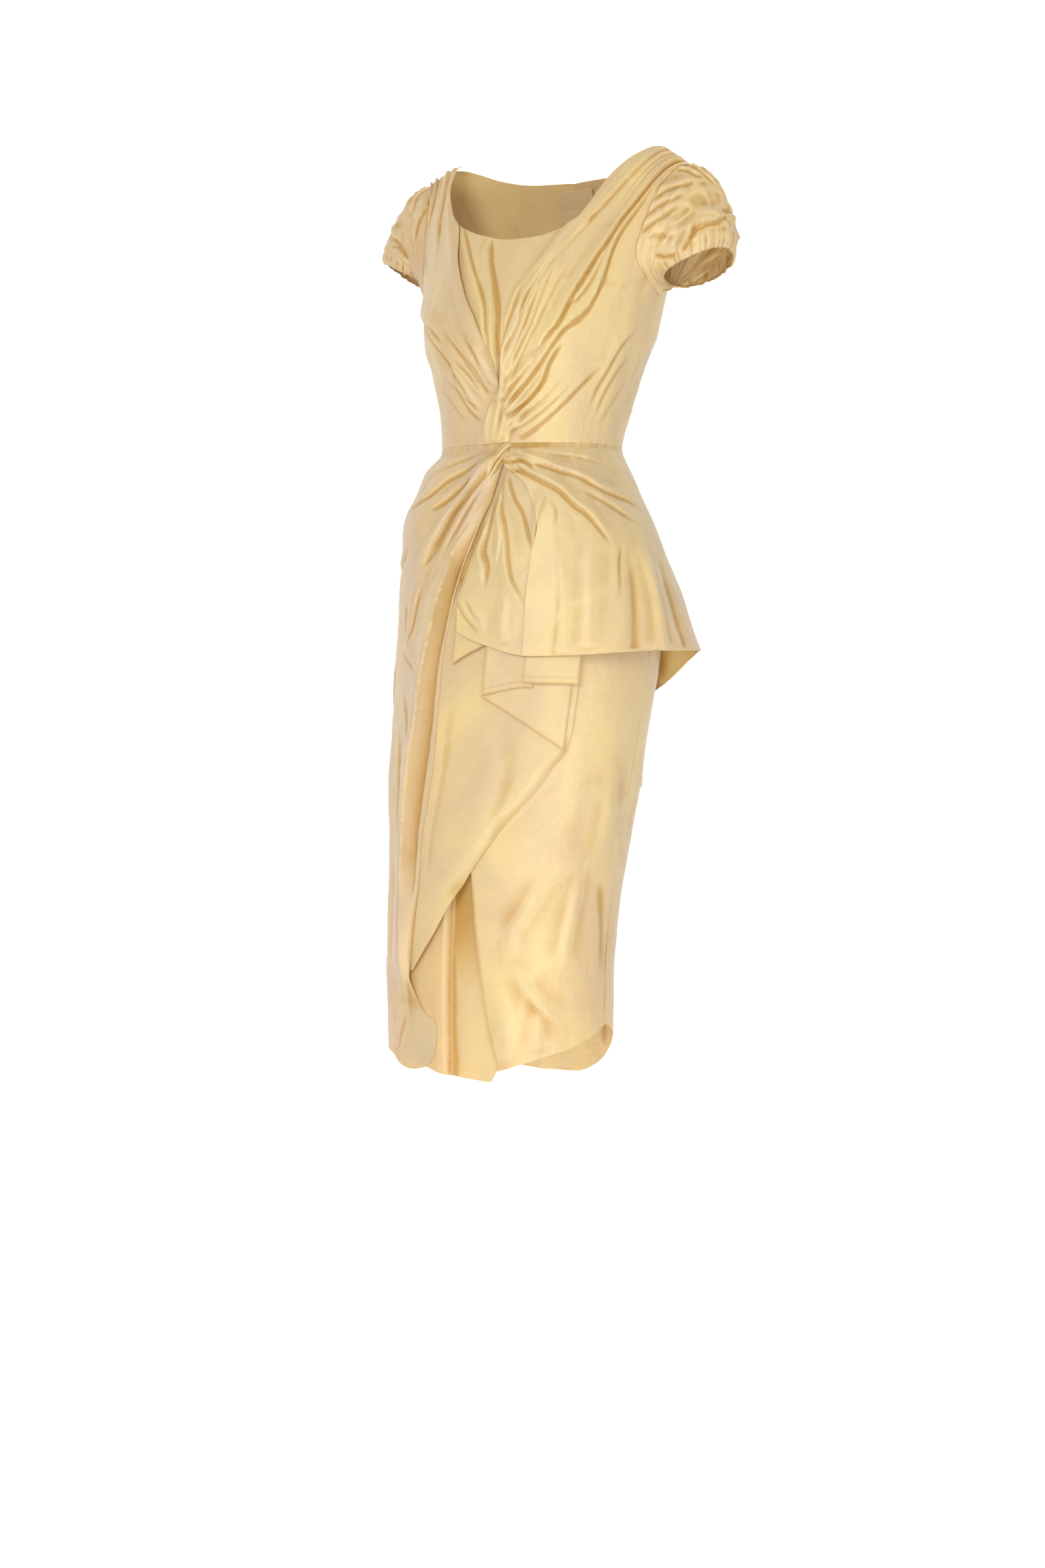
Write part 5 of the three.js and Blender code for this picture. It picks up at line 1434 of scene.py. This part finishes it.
class DRESS_OT_sleeves(bpy.types.Operator):
    """Builds the two short puffed sleeves with gathers at the armhole and the hem"""

    bl_idname = "dress.sleeves"
    bl_label = "Sleeves"

    def execute(self, context):
        for row in SLEEVES:
            name = row["name"].replace("sleeve", "puff")
            columns, rows = GRIDS[name]
            turn = -row["side"] * np.linspace(0, 2 * math.pi, columns, endpoint=False)
            angle, t = np.meshgrid(turn, np.linspace(0, 1, rows), indexing="ij")
            point = sleeve_skin(row, angle, t)
            ahead = sleeve_skin(row, angle, t + 0.01)
            beside = sleeve_skin(row, angle + row["side"] * 0.02, t)
            normal = unit(np.cross(ahead - point, point - beside))
            lift = sleeve_lift(row, angle, t)
            points = point + normal * lift[..., None]
            around = np.linspace(0, 360, columns + 1) * SLEEVE_MM * MM
            down = np.linspace(0, SLEEVE_LENGTH * MM, rows)
            uv = np.stack(np.meshgrid(around, down, indexing="ij"), -1)
            # Painted shade in the sleeve's hollows.
            piece = grid_object(name, points, uv, hollows(lift, True), wrap=True)
            thicken(piece)
            finish_cloth(piece, "yellow" if row["side"] > 0 else "beige")
        return {"FINISHED"}


def threads(name, runs, thickness, node):
    """Sews short straight threads, each a pair of points in millimetres, as one object."""
    bpy.ops.object.select_all(action="DESELECT")
    line = bpy.data.curves.new(name, "CURVE")
    line.dimensions = "3D"
    line.bevel_depth = thickness * MM / 2
    line.bevel_resolution = 0
    line.use_fill_caps = True
    for first, last in runs:
        spline = line.splines.new("POLY")
        spline.points.add(1)
        for point, place in zip(spline.points, (first, last)):
            point.co = (*(np.array(place) * MM), 1)
    piece = bpy.data.objects.new(name, line)
    bpy.context.scene.collection.objects.link(piece)
    piece.select_set(True)
    bpy.context.view_layer.objects.active = piece
    bpy.ops.object.convert(target="MESH")
    piece.data.materials.clear()
    piece.data.materials.append(
        bpy.data.materials.get("Thread")
        or plain_material("Thread", THREAD_COLOUR, PLAIN_ROUGHNESS))
    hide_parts(node)
    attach(piece, BODY)
    return piece


class DRESS_OT_stitching(bpy.types.Operator):
    """Sews the rows of stitches that show above the hems of the two tiers"""

    bl_idname = "dress.stitching"
    bl_label = "Stitching"

    def execute(self, context):
        for row in TIERS:
            if not row["stitched"]:
                continue
            hem = curve(row["hem"])
            runs = []
            for above in STITCH["rows"]:
                length = (row["end"] - row["start"]) * MM_PER_DEGREE
                for i in range(int(length / STITCH["pitch"])):
                    ends = np.array([i, i + STITCH["share"]]) * STITCH["pitch"] / MM_PER_DEGREE
                    phi = row["start"] + ends
                    q = hem(phi) + above
                    lift = tier_off(row, phi, q) + WALL + STITCH["proud"]
                    runs.append(off_body(phi, q, lift))
            threads("stitches_" + row["name"], runs, STITCH["thread"], CUTS[row["name"]]["node"])
        return {"FINISHED"}


class DRESS_OT_zip(bpy.types.Operator):
    """Finishes the concealed zip's tape behind the centre-back seam"""

    bl_idname = "dress.zip"
    bl_label = "Back zip"

    def execute(self, context):
        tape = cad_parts["back_zip"]
        tape.data.materials.clear()
        tape.data.materials.append(plain_material("Zip tape", ZIP_COLOUR, PLAIN_ROUGHNESS))
        return {"FINISHED"}


class DRESS_OT_stage(bpy.types.Operator):
    """Sets up the floor, the backdrop, the soft studio light and the camera"""

    bl_idname = "dress.stage"
    bl_label = "Stage"

    def execute(self, context):
        scene = context.scene
        settings = scene.dress_stage
        scene.view_settings.view_transform = "Standard"
        scene.view_settings.look = "None"
        world = bpy.data.worlds.new("Studio")
        world.use_nodes = True
        background = world.node_tree.nodes["Background"]
        background.inputs["Color"].default_value = AIR_COLOUR
        background.inputs["Strength"].default_value = settings.surroundings
        scene.world = world

        azimuth = math.radians(CAMERA["azimuth"])
        ahead = np.array([-math.sin(azimuth), math.cos(azimuth)])
        white = plain_material("Backdrop", BACKDROP["colour"], BACKDROP["roughness"],
                               settings.backdrop)
        behind = ahead * BACKDROP["behind"]
        for name, size, place, turn in (
            ("floor", BACKDROP["floor"], (0, 0, settings.floor_level), (0, 0, 0)),
            ("backdrop", BACKDROP["wall"], (*behind, 0), (math.pi / 2, 0, azimuth)),
        ):
            bpy.ops.object.select_all(action="DESELECT")
            bpy.ops.mesh.primitive_plane_add(size=size, location=place, rotation=turn)
            sheet = context.object
            sheet.name = name
            sheet.data.materials.append(white)
            sheet.visible_diffuse = False  # keeps its glow off the cloth but for the lustre

        for row in LIGHTS:
            light = bpy.data.lights.new(row["name"], "AREA")
            light.shape = "RECTANGLE"
            light.size, light.size_y = row["wide"], row["high"]
            light.energy = getattr(settings, row["name"])
            lamp = bpy.data.objects.new(row["name"], light)
            scene.collection.objects.link(lamp)
            lamp.visible_camera = False
            side = math.radians(row["azimuth"])
            place = np.array([math.sin(side) * row["away"], -math.cos(side) * row["away"],
                              row["z"]])
            way = np.array([0, 0, AIM_LEVEL]) - place
            lamp.location = place
            lamp.rotation_euler = (
                math.atan2(np.hypot(way[0], way[1]), -way[2]), 0, math.atan2(-way[0], way[1]))

        camera = bpy.data.cameras.new("camera")
        camera.sensor_width = CAMERA["sensor"]
        camera.lens = CAMERA["sensor"] * CAMERA["focal_px"] / CAMERA["long_side_px"]
        view = bpy.data.objects.new("camera", camera)
        scene.collection.objects.link(view)
        view.location = (*(-ahead * CAMERA["distance"]), CAMERA["height"])
        aside = math.atan(CAMERA["aim_px"] / CAMERA["focal_px"])
        view.rotation_euler = (math.radians(90 - CAMERA["down"]), 0, azimuth + aside)
        scene.camera = view
        return {"FINISHED"}


class DRESS_PT_panel(bpy.types.Panel):
    """Lists the dress's settings and pieces"""

    bl_label = "Dress"
    bl_idname = "DRESS_PT_panel"
    bl_space_type = "VIEW_3D"
    bl_region_type = "UI"
    bl_category = "Dress"

    def draw(self, context):
        layout = self.layout
        for group in (context.scene.dress_look, context.scene.dress_stage):
            for key in group.bl_rna.properties.keys():
                if key not in ("rna_type", "name"):
                    layout.prop(group, key)
        for operator in PIECES:
            layout.operator(operator.bl_idname)


PIECES = (
    DRESS_OT_stage,
    DRESS_OT_inset,
    DRESS_OT_drapes,
    DRESS_OT_backs,
    DRESS_OT_skirt_front,
    DRESS_OT_wrap,
    DRESS_OT_peplum,
    DRESS_OT_knot,
    DRESS_OT_sleeves,
    DRESS_OT_stitching,
    DRESS_OT_zip,
)
CLASSES = (DressLook, DressStage) + PIECES + (DRESS_PT_panel,)


def register():
    for cls in CLASSES:
        bpy.utils.register_class(cls)
    bpy.types.Scene.dress_look = bpy.props.PointerProperty(type=DressLook)
    bpy.types.Scene.dress_stage = bpy.props.PointerProperty(type=DressStage)


def unregister():
    del bpy.types.Scene.dress_look
    del bpy.types.Scene.dress_stage
    for cls in reversed(CLASSES):
        bpy.utils.unregister_class(cls)


def main():
    register()
    for operator in PIECES:
        group, name = operator.bl_idname.split(".")
        getattr(getattr(bpy.ops, group), name)()


if __name__ == "__main__":
    main()
